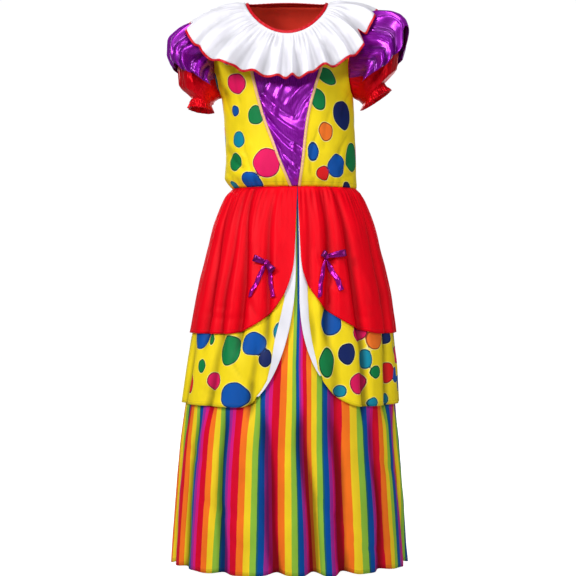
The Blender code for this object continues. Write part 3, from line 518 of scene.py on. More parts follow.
def crease(rows, x, z, across=1.0):
    """The summed depth of creases at (x, z): each a soft ridge or trough along a line."""
    total = np.zeros(np.broadcast(x, z).shape)
    for x0, z0, x1, z1, spread, depth in rows:
        run_x, run_z = (x1 - x0) * across, z1 - z0
        length = math.hypot(run_x, run_z)
        from_x, from_z = (x - x0) * across, z - z0
        along = (from_x * run_x + from_z * run_z) / length**2
        bow = 0.06 * length * np.sin(np.pi * np.clip(along, 0, 1))
        off = (from_x * run_z - from_z * run_x) / length - bow
        fade = ease(along * 3 + 0.6) * ease((1 - along) * 3 + 0.6)
        total += depth * np.exp(-((off / spread) ** 2)) * fade
    return total


# ---------------------------------------------------------------- the bodice's form
def body_height(x, fall):
    out = np.abs(x - NECK_CENTRE) - NECK_HALF
    inside = NECK_RISE * (1 - ((x - NECK_CENTRE) / NECK_HALF) ** 2)
    line = np.where(out > 0, -SHOULDER_DROP * out, inside)
    return line * np.clip(1 + fall / ARMPIT, 0, 1) - fall


def body_side(x, height):
    return np.clip((x - read(TORSO, height)) / read(TORSO, height, 2), -1.0, 1.0)


def body_point(x, fall, back):
    """The points of the bodice at x, a fall below the shoulder line."""
    height = body_height(x, fall)
    roll = np.clip(fall / SHOULDER_ROLL, 0, 1)
    depth = np.where(back, read(TORSO, height, 4), read(TORSO, height, 3))
    depth = depth * np.sqrt(1 - body_side(x, height) ** 2)
    depth = SEAM / 2 + depth * np.sqrt(1 - (1 - roll) ** 2)
    return stack(x, np.where(back, depth, -depth), height)


def x_of(turn, fall):
    """x of a turn about the bodice's own middle; turn_of is the way back."""
    x = np.copysign(NECK_HALF, turn)
    for _ in range(4):
        height = body_height(x, fall)
        x = read(TORSO, height) + read(TORSO, height, 2) * sine(turn)
    return x


def turn_of(x, fall):
    return np.degrees(np.arcsin(body_side(x, body_height(x, fall))))


def row_share(row):
    """How far rows of the bodice are up the armhole, and their fall at the side and the neck."""
    up = (row - BODY_ROWS) / ARM_ROWS
    below = mix(-ARMPIT, -WAIST, -up * ARM_ROWS / BODY_ROWS)
    beside_arm = -ARMPIT * (1 - np.cos(np.pi * (1 - up))) / 2
    inner = -ARMPIT * (1 - np.sin(np.clip(up, 0, 1) * np.pi / 2))
    return up, np.where(up <= 0, below, beside_arm), np.where(up <= 0, below, inner)


def neck_edge(turn, out=0.0):
    """The neck opening's edge, or a line that far outside it: x, fall and whether at the back."""
    ahead = cosine(turn)
    fall = (np.where(ahead < 0, BACK_DIP, NECK_DIP) + out) * np.abs(ahead) ** NECK_ROUND
    return NECK_CENTRE + (NECK_HALF + out) * sine(turn), fall, ahead < 0


def front_panel(side):
    def where(u, v):
        row = v * (BODY_ROWS + ARM_ROWS)
        _, outer_fall, inner_fall = row_share(row)
        seam_x = read(INSERT, -inner_fall, 1 if side < 0 else 2) + side * SEAM / 2
        inner = turn_of(seam_x, inner_fall)
        outer = side * np.where(row > BODY_ROWS, read(ARMHOLE, outer_fall), 90.0)
        share = 1 - u if side < 0 else u
        fall = mix(inner_fall, outer_fall, share)
        return x_of(mix(inner, outer, share), fall), fall, np.zeros(u.shape, bool)

    return where


def insert_panel(u, v):
    neck_turn = 180 * u - 90
    across = sine(neck_turn)
    _, top_fall, _ = neck_edge(neck_turn)
    share = 1 - row_share(v * (BODY_ROWS + ARM_ROWS))[2] / -WAIST
    fall = mix(-WAIST, top_fall, share)

    def between_seams(fall):
        left = read(INSERT, -fall, 1) + SEAM / 2
        right = read(INSERT, -fall, 2) - SEAM / 2
        return mix(left, right, (across + 1) / 2)

    top_x = NECK_CENTRE + (NECK_HALF - SEAM / 2) * across
    x = between_seams(fall) + (top_x - between_seams(top_fall)) * share**3
    return x, fall, np.zeros(u.shape, bool)


def back_panel(u, v):
    row = v * (BODY_ROWS + ARM_ROWS)
    up, outer_fall, inner_fall = row_share(row)
    across = 1 - 2 * u
    width = np.minimum(np.abs(across) / NECK_SHARE, 1.0)
    neck_x, dip, _ = neck_edge(180 - np.copysign(90 * width, across))
    low_turn = 90.0 * NECK_SHARE * np.copysign(width, across)
    turn = mix(low_turn, turn_of(neck_x, dip), np.clip(up, 0, 1))
    fall = mix(dip, -WAIST, inner_fall / -WAIST)
    outer = np.where(row > BODY_ROWS, read(ARMHOLE, outer_fall), 90.0)
    share = np.clip((np.abs(across) - NECK_SHARE) / (1 - NECK_SHARE), 0, 1)
    turn = mix(turn, np.copysign(outer, across), share)
    fall = mix(fall, outer_fall, share)
    return x_of(turn, fall), fall, np.ones(u.shape, bool)


def body_relief(points):
    """Creases and the slack of the cloth, the same for all that lies on the bodice."""
    x, y, z = points.T
    front = crease(CREASES["body"], x, z) * ease(-y / 0.04)
    back = crease(CREASES["body"], -x, z) * ease(y / 0.04)
    slack = BODY_SLACK * uneven(x * 60 + z * 22, 1.3) * uneven(z * 70 - x * 15, 4.1)
    blousing = gathers("blousing", (np.arctan2(x, -y) / (2 * np.pi)) % 1.0)
    near_waist = np.exp(-((z - WAIST) / 0.022) ** 2) * ease((z - WAIST) / 0.006)
    return (front + back + slack) * ease((z - WAIST) / 0.02) + blousing * near_waist


def on_body(panel):
    return lambda u, v: body_point(*panel(u, v))


def insert_relief(points):
    x, _, z = points.T
    gap = np.minimum(np.abs(x - read(INSERT, z, 1)), np.abs(x - read(INSERT, z, 2)))
    near_seam = np.exp(-gap / 0.009) * ease(gap / 0.003)
    pucker = near_seam * gathers("insert pucker", -z / 0.42, middle=0.5)
    creased = INSERT_CREASING * crease(CREASES["insert"], x, z)
    return body_relief(points) + (creased + pucker) * ease(gap / 0.004)


def piping(side, panel):
    """The piping beside a seam of the insert: its place and its rounded, twisted relief."""

    def place(u, v):
        row = v * PIPING_ROWS / (BODY_ROWS + ARM_ROWS)
        edge_x, fall, back = panel(np.full(u.shape, 1.0 if side < 0 else 0.0), row)
        out = (1 - u if side < 0 else u) * PIPING_WIDTH * 0.92
        return body_point(edge_x + side * out, fall, back)

    def relief(points):
        x, _, z = points.T
        across = np.clip((x - read(INSERT, z, 1 if side < 0 else 2)) * side / PIPING_WIDTH, 0, 1)
        twist = PIPING_TWIST * np.sin(z * 900 + 2 * np.sin(z * 130))
        return body_relief(points) + PIPING_LIFT + PIPING_ROUND * np.sin(np.pi * across) + twist

    return place, relief


def facing_place(u, v):
    row = 1 - (1 - v) * FACING_ROWS / (BODY_ROWS + ARM_ROWS)
    points = body_point(*back_panel(0.5 + (u - 0.5) * NECK_SHARE, row))
    return points + stack(0.0, 0.0, FACING_DEPTH * ease(6 * v - 5))


# ---------------------------------------------------------------- neck binding and collar
def round_turn(u):
    return (360.0 * u) % 360.0 - 180.0


def neck_tape_place(u, v):
    return body_point(*neck_edge(round_turn(u), -TAPE_GAP - BINDING_WIDTH * v))


def neck_tape_relief(points):
    around = np.arctan2(points[:, 0], -points[:, 1])
    return TAPE_LIFT + TAPE_RIPPLE * np.sin(around * 64 + 2 * np.sin(around * 7))


def collar_form(turn, out):
    start = body_point(*neck_edge(turn, SEAM))
    edge = np.stack([read(COLLAR_EDGE, turn, column) for column in (1, 2, 3)], axis=-1)
    middle = (start + edge) / 2
    away = unit(middle * (1, 1, 0))
    middle = middle + (away + (0, 0, 1)) * read(COLLAR_EDGE, turn, 4)[..., None]
    out = out[..., None]
    return start * (1 - out) ** 2 + middle * 2 * out * (1 - out) + edge * out**2


def collar_place(u, v):
    turn, out = round_turn(u), 1 - v
    rise = bumps(RUFFLES, turn)
    fine = gathers("collar, fine", u) * ease(out * 7) * (1 - ease(out * 1.4))
    wide = gathers("collar, wide", u) * ease(out * 3) * (1 - 0.55 * ease(out * 1.1))
    slack = COLLAR_SLACK * uneven(turn, 0.8, 4.0) * uneven(out * 7 + turn * 0.05, 2.0)
    lift = COLLAR_LIFT + fine + wide + COLLAR_RISE * ease(4 * out)
    lift = lift + (rise * (1 + 0.5 * ease(out)) + slack) * ease(out * 1.1)
    drawn = read(COLLAR_REACH, turn) - 1 - 1.5 * rise - bumps(COLLAR_NOTCHES, turn)
    reach = out * (1 + drawn * out)
    droop_at, spread, depth = DROOP
    droop = depth * out**2 * np.exp(-((np.abs(turn) - droop_at) / spread) ** 2)
    form = collar_form(turn, reach) - stack(0.0, 0.0, droop)
    across = collar_form(turn + 1, reach) - collar_form(turn - 1, reach)
    along = collar_form(turn, reach - 0.02) - collar_form(turn, reach + 0.02)
    return form + unit(np.cross(across, along)) * lift[..., None]


def collar_tape_place(u, v):
    edge = collar_place(u, np.zeros(u.shape))
    outwards = unit(edge - collar_place(u, np.full(u.shape, 0.06)))
    return edge + outwards * mix(EDGING_WIDTH, -0.0006, v)[..., None]


# ---------------------------------------------------------------- sleeves
def armhole_point(turn, side):
    """The armhole edge; 0 is the shoulder, then down the front and up the back."""
    step = turn % 360.0 / 360.0 * 2 * ARM_ROWS
    back = step > ARM_ROWS
    row = BODY_ROWS + ARM_ROWS - np.where(back, 2 * ARM_ROWS - step, step)
    fall = row_share(row)[1]
    at = np.where(row > BODY_ROWS, read(ARMHOLE, fall), 90.0)
    return body_point(x_of(side * at, fall), fall, back) + (side * SLEEVE_GAP, 0, 0)


def sleeve_row(rows, turn, at):
    columns = [read(rows, at, column) for column in range(1, 6)]
    outer, inner = stack(columns[0], 0.0, columns[1]), stack(columns[2], 0.0, columns[3])
    middle = (outer + inner) / 2
    ahead = stack(0.0, -columns[4], 0.0)
    return middle + (outer - middle) * cosine(turn)[..., None] + ahead * sine(turn)[..., None]


def sleeve_point(rows, side, turn, along):
    first = rows[0][0]
    near = mix(
        armhole_point(turn, side), sleeve_row(rows, turn, np.full(turn.shape, first)),
        np.clip(along / first, 0, 1)[..., None],
    )
    return np.where((along >= first)[..., None], sleeve_row(rows, turn, along), near)


def away_from_middle(rows, along, point):
    """The way out of a sleeve at its points, from the middle of its section."""
    at = np.maximum(along, rows[0][0])
    middle = stack(
        (read(rows, at, 1) + read(rows, at, 3)) / 2, 0.0, (read(rows, at, 2) + read(rows, at, 4)) / 2
    )
    middle[..., 0] = mix(point[..., 0], middle[..., 0], ease(1.5 * along))
    return unit(point - middle)


def puff_place(word, side):
    rows = PUFF[word]

    def place(u, v):
        turn, along = -side * 360.0 * u, 1 - v
        point = sleeve_point(rows, side, turn, along)
        upper = 0.35 + 0.65 * (1 + cosine(turn)) / 2
        head = gathers("puff head", u, side, 1.0) * (1 - ease(along * 2.6)) * ease(along * 9)
        past = along - CASING
        near_casing = np.exp(-np.abs(past) / np.where(past > 0, 0.16, 0.13)) * ease(np.abs(past) * 26)
        drawn = gathers("puff casing", u, -side, 0.6) * near_casing
        pinch = -CASING_PINCH * np.exp(-((past / 0.016) ** 2))
        frill = gathers("puff frill", u, side, 0.5) * ease(past / (1 - CASING))
        broad = PUFF_CRUSHING[0] * uneven(u * 26, 3.3 + side) * uneven(along * 9 + u * 5, 1.9)
        small = PUFF_CRUSHING[1] * uneven(u * 61 - along * 9, 0.8) * uneven(along * 19 + u * 21, 2.6)
        crushed = (broad + small) * ease(along * 4 - 1) + crease(PUFF_CREASES, u % 1.0, along)
        relief = head + (drawn + frill + crushed) * upper + pinch - PUFF_DRAWN_IN
        return point + away_from_middle(rows, along, point) * relief[..., None]

    return place


def flounce_place(word, side):
    rows = FLOUNCE[word]

    def place(u, v):
        turn, along = -side * FLOUNCE_TURN * (2 * u - 1), 1 - v
        along = along * (1 - bumps(FLOUNCE_NOTCHES[word], turn) * along)
        point = sleeve_point(rows, side, turn, along)
        ridges = sum(
            height * np.exp(-(((turn + 5 * np.sin(along * 4 + at) - at) / spread) ** 2))
            for at, spread, height in FLOUNCE_RIDGES[word]
        )
        head = gathers("flounce head", u, side) * (1 - ease(along * 1.7)) * ease(along * 12)
        middle = gathers("flounce middle", u, side) * ease(along * 4) * (1 - 0.6 * ease(along))
        slack = FLOUNCE_SLACK * uneven(turn, 1.4 + side, 6.0) * uneven(along * 11 + turn * 0.05, 0.7)
        slack = np.maximum(slack * ease(along * 2), -0.0015)
        stand_off = FLOUNCE_LIFT * (1 + (1 - cosine(turn)) / 2)
        lift = SLEEVE_GAP + stand_off + head + middle + slack
        lift = lift + RIDGE_HEIGHT * ridges * ease(along * 2.2)
        return point + away_from_middle(rows, along, point) * lift[..., None]

    return place


# ---------------------------------------------------------------- skirts
def down_folds(layer, height):
    """How far down its layer's folds a height is, from 0 to 1."""
    top, bottom = FOLD_REACH[layer]
    return np.clip((top - height) / (top - bottom), 0, 1)


def fold_depth(layer, turn, height):
    down = down_folds(layer, height)
    total = np.zeros(np.broadcast(turn, height).shape)
    for top_turn, hem_turn, spread, depth in FOLDS[layer]:
        wander = 1.2 * np.sin(height * 19 + top_turn)
        apart = degrees_apart(turn, mix(top_turn, hem_turn, down) + wander)
        narrowed = spread * FOLD_SPREAD[layer]
        total += FOLD_DEPTH[layer] * depth * np.exp(-((apart / narrowed) ** 2))
    loose = SKIRT_SLACK * uneven(turn, len(layer) * 1.7, 5.0) * uneven(height * 22 + turn * 0.04, 1.1)
    crossing = crease(SKIRT_CREASES[layer], degrees_apart(turn, 0.0), height, 0.0038)
    return total * down**0.45 - loose * ease(down * 2.5) - crossing


def nested_depth(layer, turn, height):
    """The depth of a layer's folds, which follow the layer over it where that one covers it."""
    if layer == "overskirt":
        return fold_depth(layer, turn, height)
    start, end = FOLD_CHANGE[layer]
    own = ease((start - height) / (start - end))
    above = "overskirt" if layer == "tier" else "tier"
    return own * fold_depth(layer, turn, height) + (1 - own) * nested_depth(above, turn, height)


def waist_gathers(turn, height):
    """The overskirt's gathers: deep at the seam, each fading at a length of its own."""
    down = (WAIST - height) / (WAIST_REACH * (1.15 + 0.6 * uneven(turn, 5.1, 6.0)))
    fine = gathers("waist, fine", turn / 360.0 + 0.5)
    wide = gathers("waist, wide", turn / 360.0 + 0.5)
    return ease(down * 5) * (fine * np.exp(-2.0 * down) + wide * np.exp(-1.0 * down))


def drape_point(layer, turn, height, lift=0.0):
    """The points of a skirt's layer, or of what lies a lift above it."""
    back = np.abs(degrees_apart(turn, 0.0)) > 90
    half = read(HALF_WIDTH[layer], height)
    ratio = np.where(back, read(DRAPE, height, 3), read(DRAPE, height, 2))
    out = lift - nested_depth(layer, turn, height)
    if layer == "overskirt":
        out = out + waist_gathers(turn, height)
    return stack(
        read(DRAPE, height) + (half + out) * sine(turn), -(half * ratio + out) * cosine(turn), height
    )


def hem_height(edge, turn):
    upright, meets, rise, hem = CUTAWAY[edge]
    share = np.clip((turn - meets) / (upright - meets), 0, 1)
    return hem + rise * (1 - np.sqrt(1 - share * share))


def edge_turn(edge, height):
    upright, meets, rise, hem = CUTAWAY[edge]
    share = 1 - np.clip((height - hem) / rise, 0, 1)
    return mix(meets, upright, np.sqrt(1 - share * share))


def band_height(edge, turn):
    """Lower end of the tier's cloth at a turn: the band's seam, then the hem."""
    rows = sorted(BAND[edge], key=lambda row: abs(row[0]))
    turns = np.array([abs(row[0]) for row in rows])
    seam = np.interp(np.abs(turn), turns, [row[1] for row in rows])
    past = np.clip((np.abs(turn) - turns[-1]) / 1.0, 0, 1)
    return mix(seam, hem_height(edge, turn), past)


def front_place(layer, word, side):
    """A cut-away front; its columns crowd towards the cut-away edge."""
    edge = f"{layer}_{word}"
    first = CUTAWAY[edge][0] if layer == "overskirt" else BAND[edge][0][0]
    closing = SLIT_CLOSING[word] if layer == "overskirt" else 0.0

    def place(u, v):
        share = 1 - u if side < 0 else u
        turn = mix(first, side * 89.96, share**1.25)
        low = hem_height(edge, turn) if layer == "overskirt" else band_height(edge, turn)
        height = mix(low, WAIST - SEAM, v)
        turn = turn + closing * (1 - share) ** 3 * np.clip(1 - (WAIST - height) / SLIT_DEPTH, 0, 1)
        return drape_point(layer, turn, height)

    return place


def back_place(layer):
    hem = CUTAWAY[f"{layer}_left"][3]
    return lambda u, v: drape_point(layer, mix(90.04, 269.96, u), mix(hem, WAIST - SEAM, v))


def band_place(word, side):
    edge = f"tier_{word}"
    rows = sorted(BAND[edge], key=lambda row: row[1])
    heights, turns = [row[1] for row in rows], [row[0] for row in rows]

    def place(u, v):
        height = mix(heights[0], WAIST - SEAM, v)
        share = 1 - u if side < 0 else u
        turn = mix(edge_turn(edge, height), np.interp(height, heights, turns), share)
        return drape_point("tier", turn, height)

    return place


def stripe_place(turn, height):
    """Where the striped cloth is in its repeats; each fold takes a share of a repeat into itself."""
    down = down_folds("skirt", height)
    total, hidden = np.zeros(np.broadcast(turn, height).shape), 0.0
    for top_turn, hem_turn, spread, depth in FOLDS["skirt"]:
        taken = STRIPES_TAKEN.get(top_turn, depth * 7.0)
        apart = turn + (360 if hem_turn > 180 else 0) - mix(top_turn, hem_turn, down)
        total += taken * (0.5 + 0.5 * np.tanh(apart / (0.62 * spread)))
        hidden += taken
    for at, spread, share in STRIPE_SHIFTS:
        total += share * (0.5 + 0.5 * np.tanh((turn - at) / spread))
    return total + (REPEATS - hidden) * (turn + 180.0) / 360.0


def skirt_place(u, v):
    turn = 360.0 * u - 180.0
    hem = SKIRT_HEM - 0.002 + HEM_WANDER * uneven(turn, 2.4, 9.0)
    hem = hem + HEM_LIFT * fold_depth("skirt", turn, np.full(turn.shape, SKIRT_HEM))
    return drape_point("skirt", turn, mix(hem, WAIST - SEAM, v))


# ---------------------------------------------------------------- bows
def on_overskirt(x, height, lift):
    half = read(HALF_WIDTH["overskirt"], height)
    turn = np.degrees(np.arcsin(np.clip((x - read(DRAPE, height)) / half, -1, 1)))
    return drape_point("overskirt", turn, height, lift)


def loop_place(knot, end):
    """A loop of ribbon, out from the knot and back over itself."""
    along = unit(end - knot)
    away = unit(np.array((knot[0], 1.6 * knot[1], 0.0)))
    across = unit(np.cross(along, away))
    away = unit(np.cross(across, along))
    length = np.linalg.norm(end - knot) - KNOT[2]
    start = knot + along * (KNOT[2] - 0.0012) + away * LOOP_LIFT

    def place(u, v):
        turn = mix(LOOP_ENDS, 360 - LOOP_ENDS, u)
        out = length * (cosine(LOOP_ENDS) - cosine(turn)) / 2
        width = LOOP_WIDTH * (0.38 + 0.62 * sine(turn / 2)) * (v - 0.5)
        cup = 0.0011 * np.cos(np.pi * (v - 0.5)) + 0.0004 * np.sin(v * 19) * (1 - sine(turn / 2))
        rise = (LOOP_RISE + cup) * sine(turn)
        return start + along * out[..., None] + away * rise[..., None] + across * width[..., None]

    return place


def tail_place(knot_at, end_at, seed):
    def place(u, v):
        down = 1 - v
        width = TAIL_WIDTH * (0.55 + 0.45 * ease(down * 4))
        slant = 0.0035 * (u - 0.5) * ease(down * 3 - 2)
        x = mix(knot_at[0], end_at[0], down) + (u - 0.5) * width + 0.0011 * np.sin(down * 6 + seed)
        curl = 0.0016 * np.sin(np.pi * u) + 0.0030 * np.sin(down * 7 + seed) ** 2
        height = mix(knot_at[1] - KNOT[2] + 0.001, end_at[1], down) + slant
        return on_overskirt(x, height, TAIL_LIFT + curl)

    return place


# ---------------------------------------------------------------- meshes from the form
def to_mesh(shape, mesh):
    """Ends a bmesh in a mesh, or in a new one of that name."""
    if isinstance(mesh, str):
        mesh = bpy.data.meshes.new(mesh)
    shape.to_mesh(mesh)
    shape.free()
    return mesh


def mesh_vectors(mesh, kind):
    values = np.empty(len(mesh.vertices) * 3)
    mesh.vertices.foreach_get(kind, values)
    return values.reshape(-1, 3)


def move_points(mesh, points):
    mesh.vertices.foreach_set("co", points.ravel())
    mesh.update()


def add_piece(name, mesh, material, wall=0.0):
    mesh.materials.append(material)
    mesh.shade_smooth()
    item = bpy.data.objects.new(name, mesh)
    bpy.context.scene.collection.objects.link(item)
    if wall:
        shell = item.modifiers.new("Cloth wall", "SOLIDIFY")
        shell.thickness = wall
        shell.offset = -1.0
    return item


def lay_cloth(name, grid, place, cut, material, wall,
              whole_turn=False, relief=None, lift=0.0, dots=None, stripes=None):
    """A thin shell of cloth: a grid laid on place(u, v), with a cut in metres as its UV map."""
    shape = bmesh.new()
    bmesh.ops.create_grid(shape, x_segments=grid[0], y_segments=grid[1], size=0.5)
    mesh = to_mesh(shape, name)
    u, v, _ = np.clip(mesh_vectors(mesh, "co") + 0.5, 0, 1).T
    points = np.array(place(u, v), float)
    move_points(mesh, points)
    if relief or lift:
        height = np.broadcast_to(lift + (relief(points) if relief else 0.0), len(points))
        points = points + mesh_vectors(mesh, "normal") * height[:, None]
        move_points(mesh, points)
    corners = np.empty(len(mesh.loops), np.int32)
    mesh.loops.foreach_get("vertex_index", corners)
    across = (stripes(360.0 * u - 180.0, points[:, 2]) if stripes else u) * cut[0]
    flat_cut = np.stack([across, v * cut[1]], axis=1)[corners]
    mesh.uv_layers.new(name="Cut").data.foreach_set("uv", flat_cut.ravel())
    # the folds' depths, for the painted shade in them
    mark_fold_shade(mesh, grid[0], np.lexsort((u.round(5), v.round(5))), whole_turn)
    if dots:
        print_dots(mesh, points, dots)
    if whole_turn:
        shape = bmesh.new()
        shape.from_mesh(mesh)
        bmesh.ops.remove_doubles(shape, verts=shape.verts[:], dist=1e-6)
        to_mesh(shape, mesh)
    return add_piece(name, mesh, material, wall)


def mark_fold_shade(mesh, across, order, whole_turn):
    """An attribute: how deep each point lies between the ridges beside it, from 0 to 1; the materials
    darken the cloth by it as painted shade in the folds.
    """
    points = mesh_vectors(mesh, "co")[order].reshape(-1, across + 1, 3)
    normals = mesh_vectors(mesh, "normal")[order].reshape(points.shape)
    depth = np.zeros(points.shape[:2])
    column = np.linalg.norm(points[:, 1:] - points[:, :-1], axis=-1).mean()
    at = np.arange(across + 1)
    for reach, full_depth in FOLD_SHADE_READINGS:
        step = max(1, round(reach / column))
        if whole_turn:
            before, after = (at - step) % across, (at + step) % across
        else:
            before, after = np.maximum(at - step, 0), np.minimum(at + step, across)
        beside = (points[:, before] + points[:, after]) / 2 - points
        depth = np.maximum(depth, (beside * normals).sum(axis=-1) / full_depth)
    marks = np.empty(depth.size)
    marks[order] = np.clip(depth, 0.0, 1.0).ravel()
    mesh.attributes.new("fold_shade_mark", "FLOAT", "POINT").data.foreach_set("value", marks)


def print_dots(mesh, points, which):
    """Two attributes for the print: how far a point is from the nearest dot's edge, and its ink."""
    x, y, height = points.T
    middles, halves, column = (
        (TORSO, TORSO, 2) if which == "bodice" else (DRAPE, HALF_WIDTH["tier"], 1)
    )
    half = read(halves, height, column)
    turn = np.arctan2((x - read(middles, height)) / half, -y / (half * PRINT_ROUNDNESS))
    back = np.abs(turn) > np.pi / 2
    turn = np.where(back, np.sign(turn) * (np.pi - np.abs(turn)), turn)
    across = np.where(back, -1.0, 1.0) * turn * half
    nearest = np.full(len(points), 1.0)
    ink = np.ones((len(points), 4))
    for index, (name, at_x, at_z, size_x, size_z) in enumerate(DOTS[which] + DOTS_BEHIND[which]):
        at_half = float(read(halves, np.array(at_z), column))
        share = np.clip(at_x / at_half, -0.9999, 0.9999)
        size_x = min(size_x * (1 + 0.3 * share**2) / math.cos(math.asin(share)), 1.25 * size_z)
        off_x, off_z = across - at_half * math.asin(share), height - at_z
        around = np.arctan2(off_z, off_x)
        wobble = 1 + 0.03 * np.sin(3 * around + index) + 0.02 * np.sin(5 * around + 2.3 * index)
        edge = (np.hypot(off_x / size_x, off_z / size_z) / wobble - 1) * min(size_x, size_z)
        nearer = (edge < nearest) & (back | (index < len(DOTS[which])))
        nearest = np.where(nearer, edge, nearest)
        ink[nearer, :3] = INKS[name]
    mesh.attributes.new("dot_edge", "FLOAT", "POINT").data.foreach_set("value", nearest)
    mesh.attributes.new("dot_ink", "FLOAT_COLOR", "POINT").data.foreach_set("color", ink.ravel())


# ---------------------------------------------------------------- node groups
class Wire:
    """A node's output; a sum on it adds a Math node to its tree."""

    def __init__(self, socket):
        self.socket = socket

    def math(self, operation, *others):
        feeds = dict(enumerate((self, *others)))
        return add_node(self.socket.id_data, "Math", feeds, operation=operation)

    def __add__(self, other):
        return self.math("ADD", other)

    def __sub__(self, other):
        return self.math("SUBTRACT", other)

    def __rsub__(self, other):
        feeds = {0: other, 1: self}
        return add_node(self.socket.id_data, "Math", feeds, operation="SUBTRACT")

    def __mul__(self, other):
        return self.math("MULTIPLY", other)

    def __truediv__(self, other):
        return self.math("DIVIDE", other)


def feed(socket, value):
    """Links a Wire to a socket, or sets the socket to a plain value or colour."""
    if isinstance(value, Wire):
        socket.id_data.links.new(value.socket, socket)
    elif socket.type == "RGBA":
        socket.default_value = (*value, 1.0)
    else:
        socket.default_value = value


def add_node(tree, kind, feeds=(), output=0, **settings):
    """Adds a node, sets it and feeds its inputs; returns one of its outputs."""
    node = tree.nodes.new(f"ShaderNode{kind}")
    for name, value in settings.items():
        setattr(node, name, value)
    for key, value in dict(feeds).items():
        feed(node.inputs[key], value)
    return Wire(node.outputs[output])


def blend(share, first, second, how="MIX"):
    """A mix of two colours, the first of them a Wire."""
    return add_node(
        first.socket.id_data, "Mix", {0: share, 6: first, 7: second}, 2,
        data_type="RGBA", blend_type=how, clamp_factor=True,
    )


def noise(vector, scale, detail=3.0, rough=0.5):
    feeds = {"Vector": vector, "Scale": scale, "Detail": detail, "Roughness": rough}
    return add_node(vector.socket.id_data, "TexNoise", feeds, "Fac")


def stretched(vector, scale):
    return add_node(vector.socket.id_data, "Mapping", {"Vector": vector, "Scale": scale}, "Vector")


def split(vector):
    """The first two parts of a vector."""
    first = add_node(vector.socket.id_data, "SeparateXYZ", {0: vector})
    return first, Wire(first.socket.node.outputs[1])


def new_group(name, inputs, outputs):
    """A node group, given its inputs' kinds and values; returns them, and its outputs' sockets."""
    group = bpy.data.node_groups.new(name, "ShaderNodeTree")
    for label, (kind, value) in inputs.items():
        kind = f"NodeSocket{kind}"
        socket = group.interface.new_socket(name=label, in_out="INPUT", socket_type=kind)
        if value is not None:
            socket.default_value = value
    for label, kind in outputs.items():
        kind = f"NodeSocket{kind}"
        group.interface.new_socket(name=label, in_out="OUTPUT", socket_type=kind)
    start, end = group.nodes.new("NodeGroupInput"), group.nodes.new("NodeGroupOutput")
    return [Wire(start.outputs[label]) for label in inputs], end.inputs


def weave_group():
    """Threads of a satin: long floats up the cloth, with slubs, and the dips between them."""
    (vector, threads), made = new_group(
        "Satin weave", {"Vector": ("Vector", None), "Threads": ("Float", 1400.0)},
        {"Height": "Float", "Tone": "Float"},
    )
    across, up = split(vector)
    turn = threads * (2 * math.pi)
    warp = (across * turn).math("SINE")
    weft = (up * (turn * 0.25) + across * turn).math("SINE")
    slub = noise(stretched(vector, (900, 45, 1)), 1.0, 2.0)
    feed(made["Height"], warp * 0.35 + weft * 0.25 + slub * 0.8)
    feed(made["Tone"], slub)


def crumple_and_shade_group():
    """Small soft creases from handling and slack; a tone that is darker where the broad creases dip
    and lighter where they rise, and darker in deep folds: painted shade and light.
    """
    (vector, fold, shade), made = new_group(
        "Crumple and fold shade",
        {"Vector": ("Vector", None), "Fold": ("Float", 0.0), "Shade": ("Float", PLAIN_SHADE)},
        {"Height": "Float", "Tone": "Float"},
    )
    broad = noise(stretched(vector, (1.0, 1.0, 0.45)), 26.0, 2.5, 0.45)
    fine = noise(stretched(vector, (1.0, 1.0, 0.6)), 75.0)
    ridge = (noise(vector, 14.0, 3.0, 0.55) - 0.5).math("ABSOLUTE")
    feed(made["Height"], broad + fine * 0.22 - ridge * 0.9)
    # painted shade: the tone follows the broad creases' height, and deep folds darken it
    feed(made["Tone"], (broad * 0.40 + 0.80) * (1.0 - fold * shade))


def hem_group():
    """A turned hem: the fold's step, and a row of stitches along it."""
    (vector, depth, stitch), made = new_group(
        "Hem stitches",
        {"Vector": ("Vector", None), "Depth": ("Float", 0.008), "Stitch": ("Float", 0.003)},
        {"Height": "Float", "Mask": "Float"},
    )
    across, up = split(vector)
    gap = up - depth
    near = (1.0 - gap.math("ABSOLUTE") * 1400.0).math("MAXIMUM", 0.0)
    thread = near * (across / stitch).math("FRACT").math("LESS_THAN", 0.68)
    feed(made["Height"], thread + near * -1.2 + gap.math("LESS_THAN", 0.0012) * 0.8)
    feed(made["Mask"], thread)


def dot_group():
    """The dotted print: a pale halo, a dark rim and a flat disc of ink on the ground colour."""
    (edge, ink, ground), made = new_group(
        "Dotted print",
        {"Edge": ("Float", 1.0), "Ink": ("Color", None), "Ground": ("Color", None)},
        {"Color": "Color"},
    )

    def inside(limit):
        share = (limit - edge) * (1 / DOT_BLUR) + 0.5
        return share.math("MAXIMUM", 0.0).math("MINIMUM", 1.0)

    halo = blend(inside(DOT_HALO), ground, HALO_COLOUR)
    rimmed = blend(inside(0.0), halo, blend(RIM_DARKNESS, ink, (0.0, 0.0, 0.0)))
    feed(made["Color"], blend(inside(-DOT_RIM), rimmed, ink))


def stripe_group():
    """Stripes of the rainbow across a repeat, with slightly uneven edges."""
    (across, vector), made = new_group(
        "Rainbow stripes", {"Across": ("Float", 0.0), "Vector": ("Vector", None)},
        {"Color": "Color"},
    )
    shake = (noise(stretched(vector, (1, 1, 0.25)), 60.0, 2.0) - 0.5) * STRIPE_SHAKE
    place = (across + shake).math("FRACT")
    colour = add_node(across.socket.id_data, "ValToRGB", {0: place})
    ramp = colour.socket.node.color_ramp
    ramp.interpolation = "CONSTANT"
    begin = 0.0
    for index, (end, ink) in enumerate(STRIPES.values()):
        stop = ramp.elements[index] if index < 2 else ramp.elements.new(begin)
        stop.position = begin
        stop.color = (*ink, 1.0)
        begin = end
    feed(made["Color"], colour)


